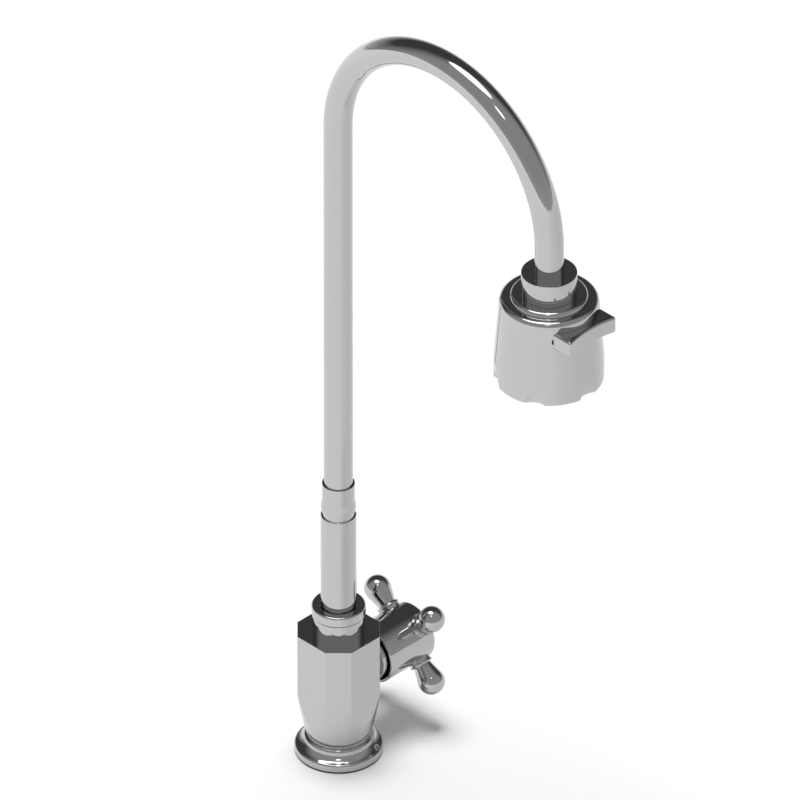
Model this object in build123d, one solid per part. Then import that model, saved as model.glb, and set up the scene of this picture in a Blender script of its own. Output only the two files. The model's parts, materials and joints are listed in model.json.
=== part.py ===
from build123d import *
import os
from math import atan2, cos, degrees, hypot, pi, radians, sin, sqrt

# Kitchen tap with a swan-neck spout, a cross handle and a two-way spray head.
# Millimetres, +Z up. The origin is the centre of the base flange, in the plane
# of the worktop. The spout reaches towards -Y and the handle points towards +X.

os.makedirs("parts", exist_ok=True)

# Clearances shared by every fit
THREAD_CLEARANCE = 0.05
RUNNING_CLEARANCE = 0.07
BRAZING_CLEARANCE = 0.05
LOOSE_CLEARANCE = 0.3
SEALING_GAP = 0.03
SLIDING_GAP = 0.1

# Base flange, the round foot on the worktop
FLANGE_RADIUS = 24.4
FLANGE_RIM_HEIGHT = 3.7
FLANGE_RIM_ROUNDING = 1.6
FLANGE_RIM_SLOPE = 22.0
FLANGE_TOP = 12.0
DISH_SAG = 0.35
BEAD_RADIUS = 18.65
BEAD_HEIGHT = 3.4
BEAD_ROUNDING = 2.1
GASKET_EDGE = 0.1
GASKET_WIDTH = 3.5
GASKET_THICKNESS = 1.0

# Threaded shank below the worktop, with what clamps it
SHANK_RADIUS = 10.48
SHANK_BORE_RADIUS = 6.5
SHANK_ENGAGEMENT = 14.0
SHANK_CHAMFER = 1.2
RELIEF_BELOW_NUT = 5.9
RELIEF_HEIGHT = 2.5
RELIEF_DEPTH = 1.18
TAIL_LENGTH = 21.0
WORKTOP_THICKNESS = 15.0
WASHER_RADIUS = 20.0
RUBBER_WASHER_THICKNESS = 3.0
STEEL_WASHER_THICKNESS = 1.6
BACK_NUT_ACROSS_FLATS = 30.0
BACK_NUT_HEIGHT = 9.0

# Body, an octagonal prism that a turned waist narrows towards its foot
BODY_HEIGHT = 68.0
LONG_FACE_APOTHEM = 20.9
LONG_FACE_HALF_WIDTH = 11.0
WAIST_FOOT_RADIUS = 17.5
WAIST_MIDDLE_RADIUS = 21.15
WAIST_MIDDLE_RISE = 15.7
WAIST_HEIGHT = 31.4
NECK_GROOVE_DEPTH = 0.9
NECK_GROOVE_HEIGHT = 0.6
CORNER_ALLOWANCE = 0.4
INLET_CHAMBER_RADIUS = 13.5
INLET_CHAMBER_HEIGHT = 3.5
INLET_PASSAGE_SETBACK = 6.0
INLET_PASSAGE_RADIUS = 3.8
SEAT_PORT_RADIUS = 5.0
OUTLET_BORE_RADIUS = 4.2
WINDOW_CHAMBER_DEPTH = 1.8

# Spout: sleeve, collar and gooseneck tube
TUBE_RADIUS = 8.0
TUBE_WALL = 1.25
TUBE_ENGAGEMENT = 28.0
RISER_LENGTH = 236.3
REACH = 161.3
DROP_LENGTH = 15.9
SLEEVE_WALL = 1.78
SLEEVE_RISE = 60.5
SLEEVE_ROUNDING = 0.75
SLEEVE_END_GAP = 2.0
SLEEVE_FLANGE_THICKNESS = 2.4
O_RING_GROOVE_DEPTH = 0.95
O_RING_GROOVE_WIDTH = 1.3
LOWER_O_RING_RISE = 4.0
O_RING_SPACING = 5.0
COLLAR_WALL = 0.97
COLLAR_HEIGHT = 20.7
COLLAR_BEAD_RISE = 1.9
COLLAR_BEAD_HEIGHT = 7.3
COLLAR_BEAD_SWELL = 0.63

# Neck adapter and neck nut, which hold the swivelling spout
ADAPTER_HEIGHT = 11.4
ADAPTER_SPIGOT_WALL = 2.1
ADAPTER_SPIGOT_DEPTH = 12.0
ADAPTER_THREAD_WALL = 1.0
ADAPTER_THREAD_HEIGHT = 3.6
ADAPTER_SHOULDER = 1.8
GLAND_WIDTH = 1.77
GLAND_DEPTH = 2.4
NECK_NUT_STEP = 0.5
NECK_NUT_GAP = 0.4
NECK_NUT_HEIGHT = 5.7
NECK_NUT_LIP = 2.0
NECK_NUT_ROUNDING = 0.9
NECK_NUT_BORE_GAP = 0.57
SWIVEL_WASHER_THICKNESS = 1.0

# Swivel connector between the gooseneck and the spray head
CONNECTOR_HEIGHT = 13.4
CONNECTOR_WALL = 4.24
CONNECTOR_TOP_WALL = 2.5
CONNECTOR_CHAMFER = 0.35
CONNECTOR_LIP = 2.0
FITTING_WALL = 2.95
FITTING_HEIGHT = 6.6
FITTING_SOCKET_DEPTH = 4.6
FITTING_BORE_RADIUS = 5.5
STEM_WASHER_THICKNESS = 1.0
STEM_RADIUS = 6.5
STEM_BORE_RADIUS = 4.5
STEM_LIP_GAP = 0.4
STEM_TAIL = 5.5
STEM_CLIP_THICKNESS = 1.0
STEM_CLIP_WIDTH = 2.3
STEM_GROOVE_DEPTH = 0.8
CLIP_GAP_ANGLE = 50.0

# Spray head, a bell with a raised disc on top and finger scoops round its rim
HEAD_HEIGHT = 51.7
HEAD_SHOULDER_RADIUS = 27.2
HEAD_FLARE = 2.8
HEAD_KINK_RISE = 14.0
HEAD_SHOULDER_ROUNDING = 3.0
HEAD_WALL = 2.3
HEAD_TOP_WALL = 2.5
HEAD_DISC_MARGIN = 6.16
HEAD_DISC_HEIGHT = 2.5
HEAD_DISC_ROUNDING = 2.4
SCOOP_COUNT = 6
SCOOP_WIDTH = 13.0
SCOOP_HEIGHT = 9.0
SCOOP_DEPTH = 2.6
BUSH_WALL = 1.75
BUSH_FLANGE_WIDTH = 1.18
BUSH_FLANGE_THICKNESS = 1.4
BUSH_BELOW_CEILING = 4.0
CORE_CAVITY_GAP = 1.0
CORE_CAVITY_DEPTH = 14.0
CORE_RIM_WIDTH = 1.9
CORE_O_RING_RISE = 8.0
CORE_O_RING_SECTION = 0.6
SPRAY_CHAMBER_HEIGHT = 3.0
SPRAY_PORT_COUNT = 12
SPRAY_PORT_RADIUS = 1.3
SPRAY_PORT_INSET = 2.1
SPRAY_PLATE_RECESS = 1.2
SPRAY_PLATE_THICKNESS = 2.6
SPRAY_HOLE_RADIUS = 0.65
SPRAY_HOLE_SPACING = 6.4
SPRAY_CIRCLE_COUNT = 3
SPRAY_CIRCLE_STEP = 3.8
AERATOR_THREAD_RADIUS = 7.35
AERATOR_WALL = 1.35
AERATOR_LEDGE = 0.7
AERATOR_FLANGE_WIDTH = 2.05
AERATOR_FLANGE_THICKNESS = 0.8
AERATOR_LENGTH = 15.6
GRILLE_THICKNESS = 1.2
GRILLE_HOLE_RADIUS = 0.8
GRILLE_HOLE_SPACING = 2.3
GRILLE_ROWS = 2

# Selector, the lever that turns a ring inside the spray head
SELECTOR_TRAVEL = 20.0
SELECTOR_RING_WIDTH = 5.2
SELECTOR_RING_HEIGHT = 13.5
SELECTOR_END_PLAY = 0.6
PORT_SEAL_THICKNESS = 0.4
CROSS_HOLE_RADIUS = 1.2
CROSS_HOLE_RISE = 1.8
POCKET_HALF_ANGLE = 5.5
POCKET_WIDTH = 3.3
POCKET_DEPTH = 3.2
ARM_HALF_WIDTH = 8.0
ARM_RISE = 3.9
ARM_THICKNESS = 3.2
ARM_OUTREACH = 3.5
SLOT_CLEARANCE = 0.4
SLOT_END_PLAY = 4.4
LEVER_HALF_LENGTH = 18.0
LEVER_BELOW_ARM = 3.4
LEVER_ABOVE_ARM = 3.4
LEVER_END_OUTREACH = 6.8
LEVER_MIDDLE_OUTREACH = 4.3
LEVER_WALL_GAP = 0.3
LEVER_END_ROUNDING = 1.6
LEVER_EDGE_ROUNDING = 1.5
PIN_RADIUS = 0.7
PIN_OFFSET = 5.0
PIN_OUTREACH = 2.3
PIN_INSET = 0.8

# Cartridge and bonnet, on the handle's axis
HANDLE_RISE = 38.7
BARREL_RADIUS = 9.0
BARREL_LENGTH = 15.0
BARREL_SHELL = 1.7
SEAT_SEAL_THICKNESS = 1.0
SEAT_SEAL_STEP = 0.2
DISC_THICKNESS = 2.5
DISC_PORT_INNER = 1.8
DISC_PORT_WALL = 1.6
DISC_PORT_ANGLE = 76.0
DRIVE_SLOT_DEPTH = 1.1
TONGUE_WALL = 1.7
TONGUE_WIDTH = 3.6
TONGUE_PLAY = 0.1
WINDOW_LENGTH = 3.2
WINDOW_MARGIN = 0.5
WINDOW_WIDTH = 9.0
SPINDLE_RADIUS = 4.0
SPINDLE_FLANGE_THICKNESS = 2.0
SPINDLE_FLANGE_STEP = 0.2
SPINDLE_WASHER_THICKNESS = 0.5
SPINDLE_CLIP_THICKNESS = 0.8
SPINDLE_CLIP_WIDTH = 2.0
SPINDLE_GROOVE_DEPTH = 0.6
CARTRIDGE_THREAD_STEP = 1.0
CARTRIDGE_THREAD_SUNK = 9.9
CARTRIDGE_THREAD_PROUD = 12.1
CARTRIDGE_NECK_WALL = 2.43
CARTRIDGE_NECK_PROUD = 3.0
CARTRIDGE_O_RING_SETBACK = 2.5
BONNET_WALL = 4.0
BONNET_LIP = 2.0
BONNET_CHAMFER = 0.8

# Cross handle: a cup-shaped hub with four turned arms
HUB_RADIUS = 16.9
HUB_WALL = 1.5
HUB_BACK_GAP = 3.6
HUB_CAVITY_GAP = 4.0
HUB_HEAD_THICKNESS = 16.3
HUB_FRONT_ROUNDING = 1.4
HUB_BACK_ROUNDING = 0.5
SPLINE_LENGTH = 8.5
SPLINE_STEP = 0.1
SPLINE_DEPTH = 0.45
SPLINE_TEETH = 20
SPLINE_LEAD = 0.5
SCREW_RADIUS = 1.9
SCREW_HEAD_RADIUS = 3.5
SCREW_HEAD_HEIGHT = 2.4
SCREW_SEAT_WALL = 2.2
SCREW_LENGTH = 10.0
CAP_RADIUS = 7.9
CAP_THICKNESS = 2.0
CAP_DOME = 0.5
ARM_COUNT = 4
ARM_SETBACK = 7.3
ARM_SPIGOT_RADIUS = 2.45
ARM_SPIGOT_LENGTH = 6.0
ARM_COLLAR_RADIUS = 6.6
ARM_COLLAR_SHANK_RADIUS = 6.3
ARM_BEAD_START = 2.0
ARM_BEAD_END = 3.7
ARM_CONE_START_RADIUS = 4.95
ARM_BALL_RADIUS = 7.5
ARM_BALL_RISE = 14.1

# Heights of the foot, the body and the neck
BODY_BOTTOM = FLANGE_TOP
BODY_TOP = BODY_BOTTOM + BODY_HEIGHT
WAIST_BOTTOM = BODY_BOTTOM + NECK_GROOVE_HEIGHT
SHANK_TOP = BODY_BOTTOM + SHANK_ENGAGEMENT
RUBBER_WASHER_BOTTOM = -WORKTOP_THICKNESS - RUBBER_WASHER_THICKNESS
STEEL_WASHER_BOTTOM = RUBBER_WASHER_BOTTOM - STEEL_WASHER_THICKNESS
BACK_NUT_BOTTOM = STEEL_WASHER_BOTTOM - BACK_NUT_HEIGHT
RELIEF_TOP = BACK_NUT_BOTTOM - RELIEF_BELOW_NUT
SHANK_BOTTOM = RELIEF_TOP - RELIEF_HEIGHT - TAIL_LENGTH
HANDLE_HEIGHT = BODY_BOTTOM + HANDLE_RISE
ADAPTER_BOTTOM = BODY_TOP - ADAPTER_SPIGOT_DEPTH
ADAPTER_TOP = BODY_TOP + ADAPTER_HEIGHT
GLAND_BOTTOM = ADAPTER_TOP - GLAND_DEPTH
SLEEVE_FLANGE_BOTTOM = GLAND_BOTTOM + SWIVEL_WASHER_THICKNESS
SLEEVE_FLANGE_TOP = SLEEVE_FLANGE_BOTTOM + SLEEVE_FLANGE_THICKNESS
GLAND_TOP = SLEEVE_FLANGE_TOP + SWIVEL_WASHER_THICKNESS
NECK_NUT_BOTTOM = ADAPTER_TOP + NECK_NUT_GAP
NECK_NUT_TOP = NECK_NUT_BOTTOM + NECK_NUT_HEIGHT

# Heights of the spout and the connector
SLEEVE_BOTTOM = ADAPTER_BOTTOM + SLEEVE_END_GAP
SLEEVE_TOP = NECK_NUT_TOP + SLEEVE_RISE
COLLAR_TOP = SLEEVE_TOP + COLLAR_HEIGHT
COLLAR_BEAD_BOTTOM = SLEEVE_TOP + COLLAR_BEAD_RISE
COLLAR_BEAD_TOP = COLLAR_BEAD_BOTTOM + COLLAR_BEAD_HEIGHT
TUBE_BOTTOM = SLEEVE_TOP - TUBE_ENGAGEMENT
BEND_HEIGHT = COLLAR_TOP + RISER_LENGTH
BEND_RADIUS = REACH / 2
CONNECTOR_TOP = BEND_HEIGHT - DROP_LENGTH
CONNECTOR_BOTTOM = CONNECTOR_TOP - CONNECTOR_HEIGHT
CONNECTOR_CAVITY_TOP = CONNECTOR_TOP - CONNECTOR_TOP_WALL
CONNECTOR_CAVITY_BOTTOM = CONNECTOR_BOTTOM + CONNECTOR_LIP
FITTING_BOTTOM = CONNECTOR_CAVITY_TOP - FITTING_HEIGHT
TUBE_END = CONNECTOR_CAVITY_TOP - FITTING_SOCKET_DEPTH
STEM_WASHER_BOTTOM = FITTING_BOTTOM - STEM_WASHER_THICKNESS

# Heights of the spray head and the selector
HEAD_DISC_TOP = CONNECTOR_BOTTOM - SLIDING_GAP
HEAD_TOP_HEIGHT = HEAD_DISC_TOP - HEAD_DISC_HEIGHT
HEAD_SHOULDER_HEIGHT = HEAD_TOP_HEIGHT - HEAD_SHOULDER_ROUNDING
HEAD_CEILING = HEAD_TOP_HEIGHT - HEAD_TOP_WALL
HEAD_BOTTOM = HEAD_TOP_HEIGHT - HEAD_HEIGHT
HEAD_KINK_HEIGHT = HEAD_BOTTOM + HEAD_KINK_RISE
BUSH_BOTTOM = HEAD_CEILING - BUSH_BELOW_CEILING
BUSH_SEAT = HEAD_DISC_TOP - SLIDING_GAP - BUSH_FLANGE_THICKNESS
STEM_CLIP_HEIGHT = BUSH_BOTTOM - LOOSE_CLEARANCE - STEM_CLIP_THICKNESS
STEM_BOTTOM = BUSH_BOTTOM - STEM_TAIL
SELECTOR_RING_TOP = HEAD_CEILING - SELECTOR_END_PLAY
SELECTOR_RING_BOTTOM = SELECTOR_RING_TOP - SELECTOR_RING_HEIGHT
SHOULDER_HEIGHT = SELECTOR_RING_BOTTOM - SLIDING_GAP - PORT_SEAL_THICKNESS
CROSS_HOLE_HEIGHT = SELECTOR_RING_BOTTOM + CROSS_HOLE_RISE
ARM_BOTTOM = SELECTOR_RING_BOTTOM + ARM_RISE
ARM_TOP = ARM_BOTTOM + ARM_THICKNESS
LEVER_BOTTOM = ARM_BOTTOM - LEVER_BELOW_ARM
LEVER_TOP = ARM_TOP + LEVER_ABOVE_ARM
CORE_CAVITY_FLOOR = SHOULDER_HEIGHT - CORE_CAVITY_DEPTH
SPRAY_PLATE_BOTTOM = HEAD_BOTTOM + SPRAY_PLATE_RECESS
SPRAY_PLATE_TOP = SPRAY_PLATE_BOTTOM + SPRAY_PLATE_THICKNESS
CORE_BOTTOM = SPRAY_PLATE_TOP + SPRAY_CHAMBER_HEIGHT
CORE_O_RING_HEIGHT = CORE_BOTTOM + CORE_O_RING_RISE
AERATOR_BOTTOM = SPRAY_PLATE_BOTTOM - AERATOR_FLANGE_THICKNESS
AERATOR_TOP = SPRAY_PLATE_BOTTOM + AERATOR_LENGTH

# Distances along the handle's axis, from the tap's middle
BARREL_END = LONG_FACE_APOTHEM - CARTRIDGE_THREAD_SUNK
BARREL_START = BARREL_END - BARREL_LENGTH
SEAT_DISTANCE = BARREL_START - SEAT_SEAL_THICKNESS
INLET_PASSAGE_OFFSET = INLET_PASSAGE_SETBACK - SEAT_DISTANCE
MOVING_DISC_START = BARREL_START + DISC_THICKNESS
MOVING_DISC_END = MOVING_DISC_START + DISC_THICKNESS
WINDOW_START = MOVING_DISC_END + WINDOW_MARGIN
WINDOW_END = WINDOW_START + WINDOW_LENGTH
SPINDLE_FLANGE_START = WINDOW_END + WINDOW_MARGIN
SPINDLE_FLANGE_END = SPINDLE_FLANGE_START + SPINDLE_FLANGE_THICKNESS
DISC_CHAMBER_END = SPINDLE_FLANGE_END + SPINDLE_WASHER_THICKNESS + TONGUE_PLAY
CARTRIDGE_O_RING_DISTANCE = BARREL_END - CARTRIDGE_O_RING_SETBACK
CARTRIDGE_THREAD_END = LONG_FACE_APOTHEM + CARTRIDGE_THREAD_PROUD
BONNET_END = CARTRIDGE_THREAD_END + BONNET_LIP
CARTRIDGE_NECK_END = BONNET_END + CARTRIDGE_NECK_PROUD
SPINDLE_CLIP_START = CARTRIDGE_NECK_END + LOOSE_CLEARANCE
HUB_BACK = LONG_FACE_APOTHEM + HUB_BACK_GAP
HUB_CAVITY_END = CARTRIDGE_NECK_END + HUB_CAVITY_GAP
HUB_FRONT = HUB_CAVITY_END + HUB_HEAD_THICKNESS
SPLINE_START = HUB_CAVITY_END + SPLINE_LEAD
SPLINE_END = SPLINE_START + SPLINE_LENGTH
SCREW_SEAT = SPLINE_END + SCREW_SEAT_WALL
CAP_SEAT = HUB_FRONT - CAP_THICKNESS
ARM_PLANE = HUB_FRONT - ARM_SETBACK

# Distances along a handle arm, from the hub's axis
HUB_CAVITY_RADIUS = HUB_RADIUS - HUB_WALL
ARM_SEAT = HUB_CAVITY_RADIUS
ARM_SPIGOT_END = ARM_SEAT - ARM_SPIGOT_LENGTH
ARM_COLLAR_BEAD = ARM_SEAT + ARM_BEAD_START
ARM_COLLAR_END = ARM_SEAT + ARM_BEAD_END
ARM_BALL_CENTRE = ARM_SEAT + ARM_BALL_RISE

# Radii of the foot, the body and the neck
DISH_TOP = FLANGE_TOP - BEAD_HEIGHT
FLANGE_SEAT_RADIUS = BEAD_RADIUS - BEAD_ROUNDING
GASKET_OUTER = FLANGE_RADIUS - GASKET_EDGE
GASKET_INNER = GASKET_OUTER - GASKET_WIDTH
SHANK_HOLE_RADIUS = SHANK_RADIUS + LOOSE_CLEARANCE
SHANK_SOCKET_RADIUS = SHANK_RADIUS + THREAD_CLEARANCE
RELIEF_RADIUS = SHANK_RADIUS - RELIEF_DEPTH
NECK_GROOVE_RADIUS = WAIST_FOOT_RADIUS - NECK_GROOVE_DEPTH
SLEEVE_BORE = TUBE_RADIUS + BRAZING_CLEARANCE
SLEEVE_RADIUS = SLEEVE_BORE + SLEEVE_WALL
COLLAR_RADIUS = SLEEVE_BORE + COLLAR_WALL
COLLAR_BEAD_RADIUS = COLLAR_RADIUS + COLLAR_BEAD_SWELL
ADAPTER_BORE = SLEEVE_RADIUS + RUNNING_CLEARANCE
ADAPTER_SPIGOT_RADIUS = ADAPTER_BORE + ADAPTER_SPIGOT_WALL
GLAND_RADIUS = SLEEVE_RADIUS + GLAND_WIDTH
SLEEVE_FLANGE_RADIUS = GLAND_RADIUS - LOOSE_CLEARANCE
SWIVEL_WASHER_BORE = SLEEVE_RADIUS + LOOSE_CLEARANCE
ADAPTER_THREAD_RADIUS = GLAND_RADIUS + ADAPTER_THREAD_WALL
ADAPTER_RADIUS = ADAPTER_THREAD_RADIUS + ADAPTER_SHOULDER
NECK_NUT_RADIUS = ADAPTER_RADIUS + NECK_NUT_STEP
NECK_NUT_BORE = SLEEVE_RADIUS + NECK_NUT_BORE_GAP

# Radii of the connector, the spray head and the selector
CONNECTOR_THREAD_RADIUS = SLEEVE_BORE + FITTING_WALL
CONNECTOR_RADIUS = CONNECTOR_THREAD_RADIUS + CONNECTOR_WALL
STEM_FLANGE_RADIUS = CONNECTOR_THREAD_RADIUS - LOOSE_CLEARANCE
STEM_CLIP_RADIUS = STEM_RADIUS + STEM_CLIP_WIDTH
BUSH_BORE = STEM_RADIUS + RUNNING_CLEARANCE
BUSH_RADIUS = BUSH_BORE + BUSH_WALL
BUSH_HOLE_RADIUS = BUSH_RADIUS + BRAZING_CLEARANCE
BUSH_FLANGE_RADIUS = BUSH_RADIUS + BUSH_FLANGE_WIDTH
HEAD_RADIUS = HEAD_SHOULDER_RADIUS + HEAD_FLARE
HEAD_BORE_RADIUS = HEAD_SHOULDER_RADIUS - HEAD_WALL
HEAD_DISC_RADIUS = CONNECTOR_RADIUS + HEAD_DISC_MARGIN
CORE_RADIUS = HEAD_BORE_RADIUS - BRAZING_CLEARANCE
CORE_RIM_INNER = CORE_RADIUS - CORE_RIM_WIDTH
CORE_CAVITY_RADIUS = STEM_CLIP_RADIUS + CORE_CAVITY_GAP
SELECTOR_RING_OUTER = HEAD_BORE_RADIUS - LOOSE_CLEARANCE
SELECTOR_RING_INNER = SELECTOR_RING_OUTER - SELECTOR_RING_WIDTH
CORE_NECK_RADIUS = SELECTOR_RING_INNER - RUNNING_CLEARANCE
POCKET_OUTER = SELECTOR_RING_INNER + POCKET_WIDTH
SPRAY_PORT_CIRCLE = SELECTOR_RING_INNER + SPRAY_PORT_INSET
AERATOR_HOLE_RADIUS = AERATOR_THREAD_RADIUS + THREAD_CLEARANCE
AERATOR_BORE_RADIUS = AERATOR_THREAD_RADIUS - AERATOR_WALL
AERATOR_FLANGE_RADIUS = AERATOR_THREAD_RADIUS + AERATOR_FLANGE_WIDTH
ARM_REACH = HEAD_SHOULDER_RADIUS + ARM_OUTREACH
PIN_REACH = HEAD_SHOULDER_RADIUS + PIN_OUTREACH
LEVER_END_REACH = HEAD_SHOULDER_RADIUS + LEVER_END_OUTREACH
LEVER_MIDDLE_REACH = HEAD_SHOULDER_RADIUS + LEVER_MIDDLE_OUTREACH
ARM_HALF_ANGLE = degrees(atan2(ARM_HALF_WIDTH, HEAD_BORE_RADIUS))
SLOT_HALF_ANGLE = SELECTOR_TRAVEL + ARM_HALF_ANGLE + SLOT_END_PLAY

# Radii of the cartridge and the handle
BARREL_HOLE_RADIUS = BARREL_RADIUS + SLIDING_GAP
SEAT_SEAL_RADIUS = BARREL_RADIUS - SEAT_SEAL_STEP
WINDOW_CHAMBER_RADIUS = BARREL_HOLE_RADIUS + WINDOW_CHAMBER_DEPTH
DISC_CHAMBER_RADIUS = BARREL_RADIUS - BARREL_SHELL
DISC_RADIUS = DISC_CHAMBER_RADIUS - SLIDING_GAP
DISC_PORT_OUTER = DISC_RADIUS - DISC_PORT_WALL
TONGUE_LENGTH = 2 * (DISC_RADIUS - TONGUE_WALL)
SPINDLE_FLANGE_RADIUS = DISC_RADIUS - SPINDLE_FLANGE_STEP
SPINDLE_BORE = SPINDLE_RADIUS + RUNNING_CLEARANCE
SPINDLE_CLIP_RADIUS = SPINDLE_RADIUS + SPINDLE_CLIP_WIDTH
SPLINE_TIP_RADIUS = SPINDLE_RADIUS - SPLINE_STEP
SPLINE_ROOT_RADIUS = SPLINE_TIP_RADIUS - SPLINE_DEPTH
CARTRIDGE_THREAD_RADIUS = BARREL_RADIUS + CARTRIDGE_THREAD_STEP
CARTRIDGE_THREAD_BORE = CARTRIDGE_THREAD_RADIUS + THREAD_CLEARANCE
CARTRIDGE_NECK_RADIUS = SPINDLE_BORE + CARTRIDGE_NECK_WALL
BONNET_RADIUS = CARTRIDGE_THREAD_BORE + BONNET_WALL

# Frames in which the sub-parts are turned
ON_HANDLE = Pos(0, 0, HANDLE_HEIGHT) * Rot(0, 90, 0)
ON_HEAD = Pos(0, -REACH, 0)


def turned(*outline):
    """Solid of revolution about Z from (radius, height) corners."""
    return revolve(Plane.XZ * make_face(Polyline(*outline, close=True)), Axis.Z)


def turned_curves(curves):
    """Solid of revolution about Z from a closed run of lines and arcs."""
    return revolve(Plane.XZ * make_face(curves), Axis.Z)


def rod(radius, low, high):
    """Solid cylinder about Z between two heights."""
    return Pos(0, 0, low) * Cylinder(
        radius, high - low, align=(Align.CENTER, Align.CENTER, Align.MIN)
    )


def ring(outer, inner, low, high):
    """Plain ring about Z between two heights."""
    return turned((inner, low), (outer, low), (outer, high), (inner, high))


def o_ring(middle_radius, section_radius, height):
    """Round rubber ring about Z."""
    return Pos(0, 0, height) * Torus(middle_radius, section_radius)


def block(width, depth, low, high):
    """Rectangular bar along Z between two heights."""
    return Pos(0, 0, low) * Box(
        width, depth, high - low, align=(Align.CENTER, Align.CENTER, Align.MIN)
    )


def hexagon(across_flats, low, high):
    """Hexagonal bar along Z between two heights."""
    face = RegularPolygon(across_flats / 2, 6, major_radius=False)
    return Pos(0, 0, low) * extrude(face, high - low)


def sector(inner, outer, angle, low, high):
    """Part of a ring, centred on -Y, between two heights."""
    opened = revolve(
        Plane.XZ
        * make_face(Polyline((inner, low), (outer, low), (outer, high), (inner, high), close=True)),
        Axis.Z,
        revolution_arc=angle,
    )
    return Rot(0, 0, -90 - angle / 2) * opened


def open_clip(inner, outer, low, high):
    """Snap ring with a gap on its -Y side."""
    return ring(outer, inner, low, high) - sector(
        inner - 1, outer + 1, CLIP_GAP_ANGLE, low - 1, high + 1
    )


def serrated_bar(root, tip, low, high):
    """Bar with fine pointed splines all round."""
    step = pi / SPLINE_TEETH
    radii = [tip if k % 2 == 0 else root for k in range(2 * SPLINE_TEETH)]
    corners = [(r * cos(k * step), r * sin(k * step)) for k, r in enumerate(radii)]
    return Pos(0, 0, low) * extrude(make_face(Polyline(*corners, close=True)), high - low)


def rounded_edge(corner_radius, corner_height, rounding):
    """Quarter round that turns an upright wall into a level top."""
    inset = rounding * (1 - cos(pi / 4))
    return ThreePointArc(
        (corner_radius, corner_height - rounding),
        (corner_radius - inset, corner_height - inset),
        (corner_radius - rounding, corner_height),
    )


def head_wall_radius(height):
    """Outer radius of the bell's sloping wall at a height."""
    share = (height - HEAD_KINK_HEIGHT) / (HEAD_SHOULDER_HEIGHT - HEAD_KINK_HEIGHT)
    return HEAD_RADIUS + share * (HEAD_SHOULDER_RADIUS - HEAD_RADIUS)


def make_base_flange():
    slope = radians(FLANGE_RIM_SLOPE)
    halfway = (pi / 2 + slope) / 2
    rim_turn = FLANGE_RADIUS - FLANGE_RIM_ROUNDING
    dish_radius = rim_turn + FLANGE_RIM_ROUNDING * sin(slope)
    dish_bottom = FLANGE_RIM_HEIGHT + FLANGE_RIM_ROUNDING * cos(slope)
    rounding = ThreePointArc(
        (FLANGE_RADIUS, FLANGE_RIM_HEIGHT),
        (
            rim_turn + FLANGE_RIM_ROUNDING * sin(halfway),
            FLANGE_RIM_HEIGHT + FLANGE_RIM_ROUNDING * cos(halfway),
        ),
        (dish_radius, dish_bottom),
    )
    run = dish_radius - BEAD_RADIUS
    rise = DISH_TOP - dish_bottom
    dish = ThreePointArc(
        (dish_radius, dish_bottom),
        (
            (dish_radius + BEAD_RADIUS) / 2 - DISH_SAG * rise / hypot(run, rise),
            (dish_bottom + DISH_TOP) / 2 - DISH_SAG * run / hypot(run, rise),
        ),
        (BEAD_RADIUS, DISH_TOP),
    )
    bead_side = Line((BEAD_RADIUS, DISH_TOP), (BEAD_RADIUS, FLANGE_TOP - BEAD_ROUNDING))
    bead = rounded_edge(BEAD_RADIUS, FLANGE_TOP, BEAD_ROUNDING)
    inside = Polyline(
        (FLANGE_SEAT_RADIUS, FLANGE_TOP),
        (SHANK_HOLE_RADIUS, FLANGE_TOP),
        (SHANK_HOLE_RADIUS, 0),
        (FLANGE_RADIUS, 0),
        (FLANGE_RADIUS, FLANGE_RIM_HEIGHT),
    )
    flange = turned_curves(rounding + dish + bead_side + bead + inside)
    return flange - ring(
        FLANGE_RADIUS + 1, GASKET_INNER - LOOSE_CLEARANCE, 0, GASKET_THICKNESS
    )


def make_base_gasket():
    return ring(GASKET_OUTER, GASKET_INNER, 0, GASKET_THICKNESS)


def make_threaded_shank():
    shank = rod(SHANK_RADIUS, SHANK_BOTTOM, SHANK_TOP)
    shank = chamfer(shank.edges().filter_by(GeomType.CIRCLE), SHANK_CHAMFER)
    relief = ring(
        SHANK_RADIUS + 1, RELIEF_RADIUS, RELIEF_TOP - RELIEF_HEIGHT, RELIEF_TOP
    )
    bore = rod(SHANK_BORE_RADIUS, SHANK_BOTTOM, SHANK_TOP)
    return shank - relief - bore


def make_deck_rubber_washer():
    return ring(
        WASHER_RADIUS, SHANK_HOLE_RADIUS, RUBBER_WASHER_BOTTOM, -WORKTOP_THICKNESS
    )


def make_deck_steel_washer():
    return ring(
        WASHER_RADIUS, SHANK_HOLE_RADIUS, STEEL_WASHER_BOTTOM, RUBBER_WASHER_BOTTOM
    )


def make_back_nut():
    flats = hexagon(BACK_NUT_ACROSS_FLATS, BACK_NUT_BOTTOM, STEEL_WASHER_BOTTOM)
    corner_radius = BACK_NUT_ACROSS_FLATS / sqrt(3)
    slope = corner_radius - BACK_NUT_ACROSS_FLATS / 2
    envelope = turned(
        (0, BACK_NUT_BOTTOM),
        (BACK_NUT_ACROSS_FLATS / 2, BACK_NUT_BOTTOM),
        (corner_radius, BACK_NUT_BOTTOM + slope / 2),
        (corner_radius, STEEL_WASHER_BOTTOM),
        (0, STEEL_WASHER_BOTTOM),
    )
    hole = rod(SHANK_SOCKET_RADIUS, BACK_NUT_BOTTOM, STEEL_WASHER_BOTTOM)
    return (flats & envelope) - hole


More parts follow.
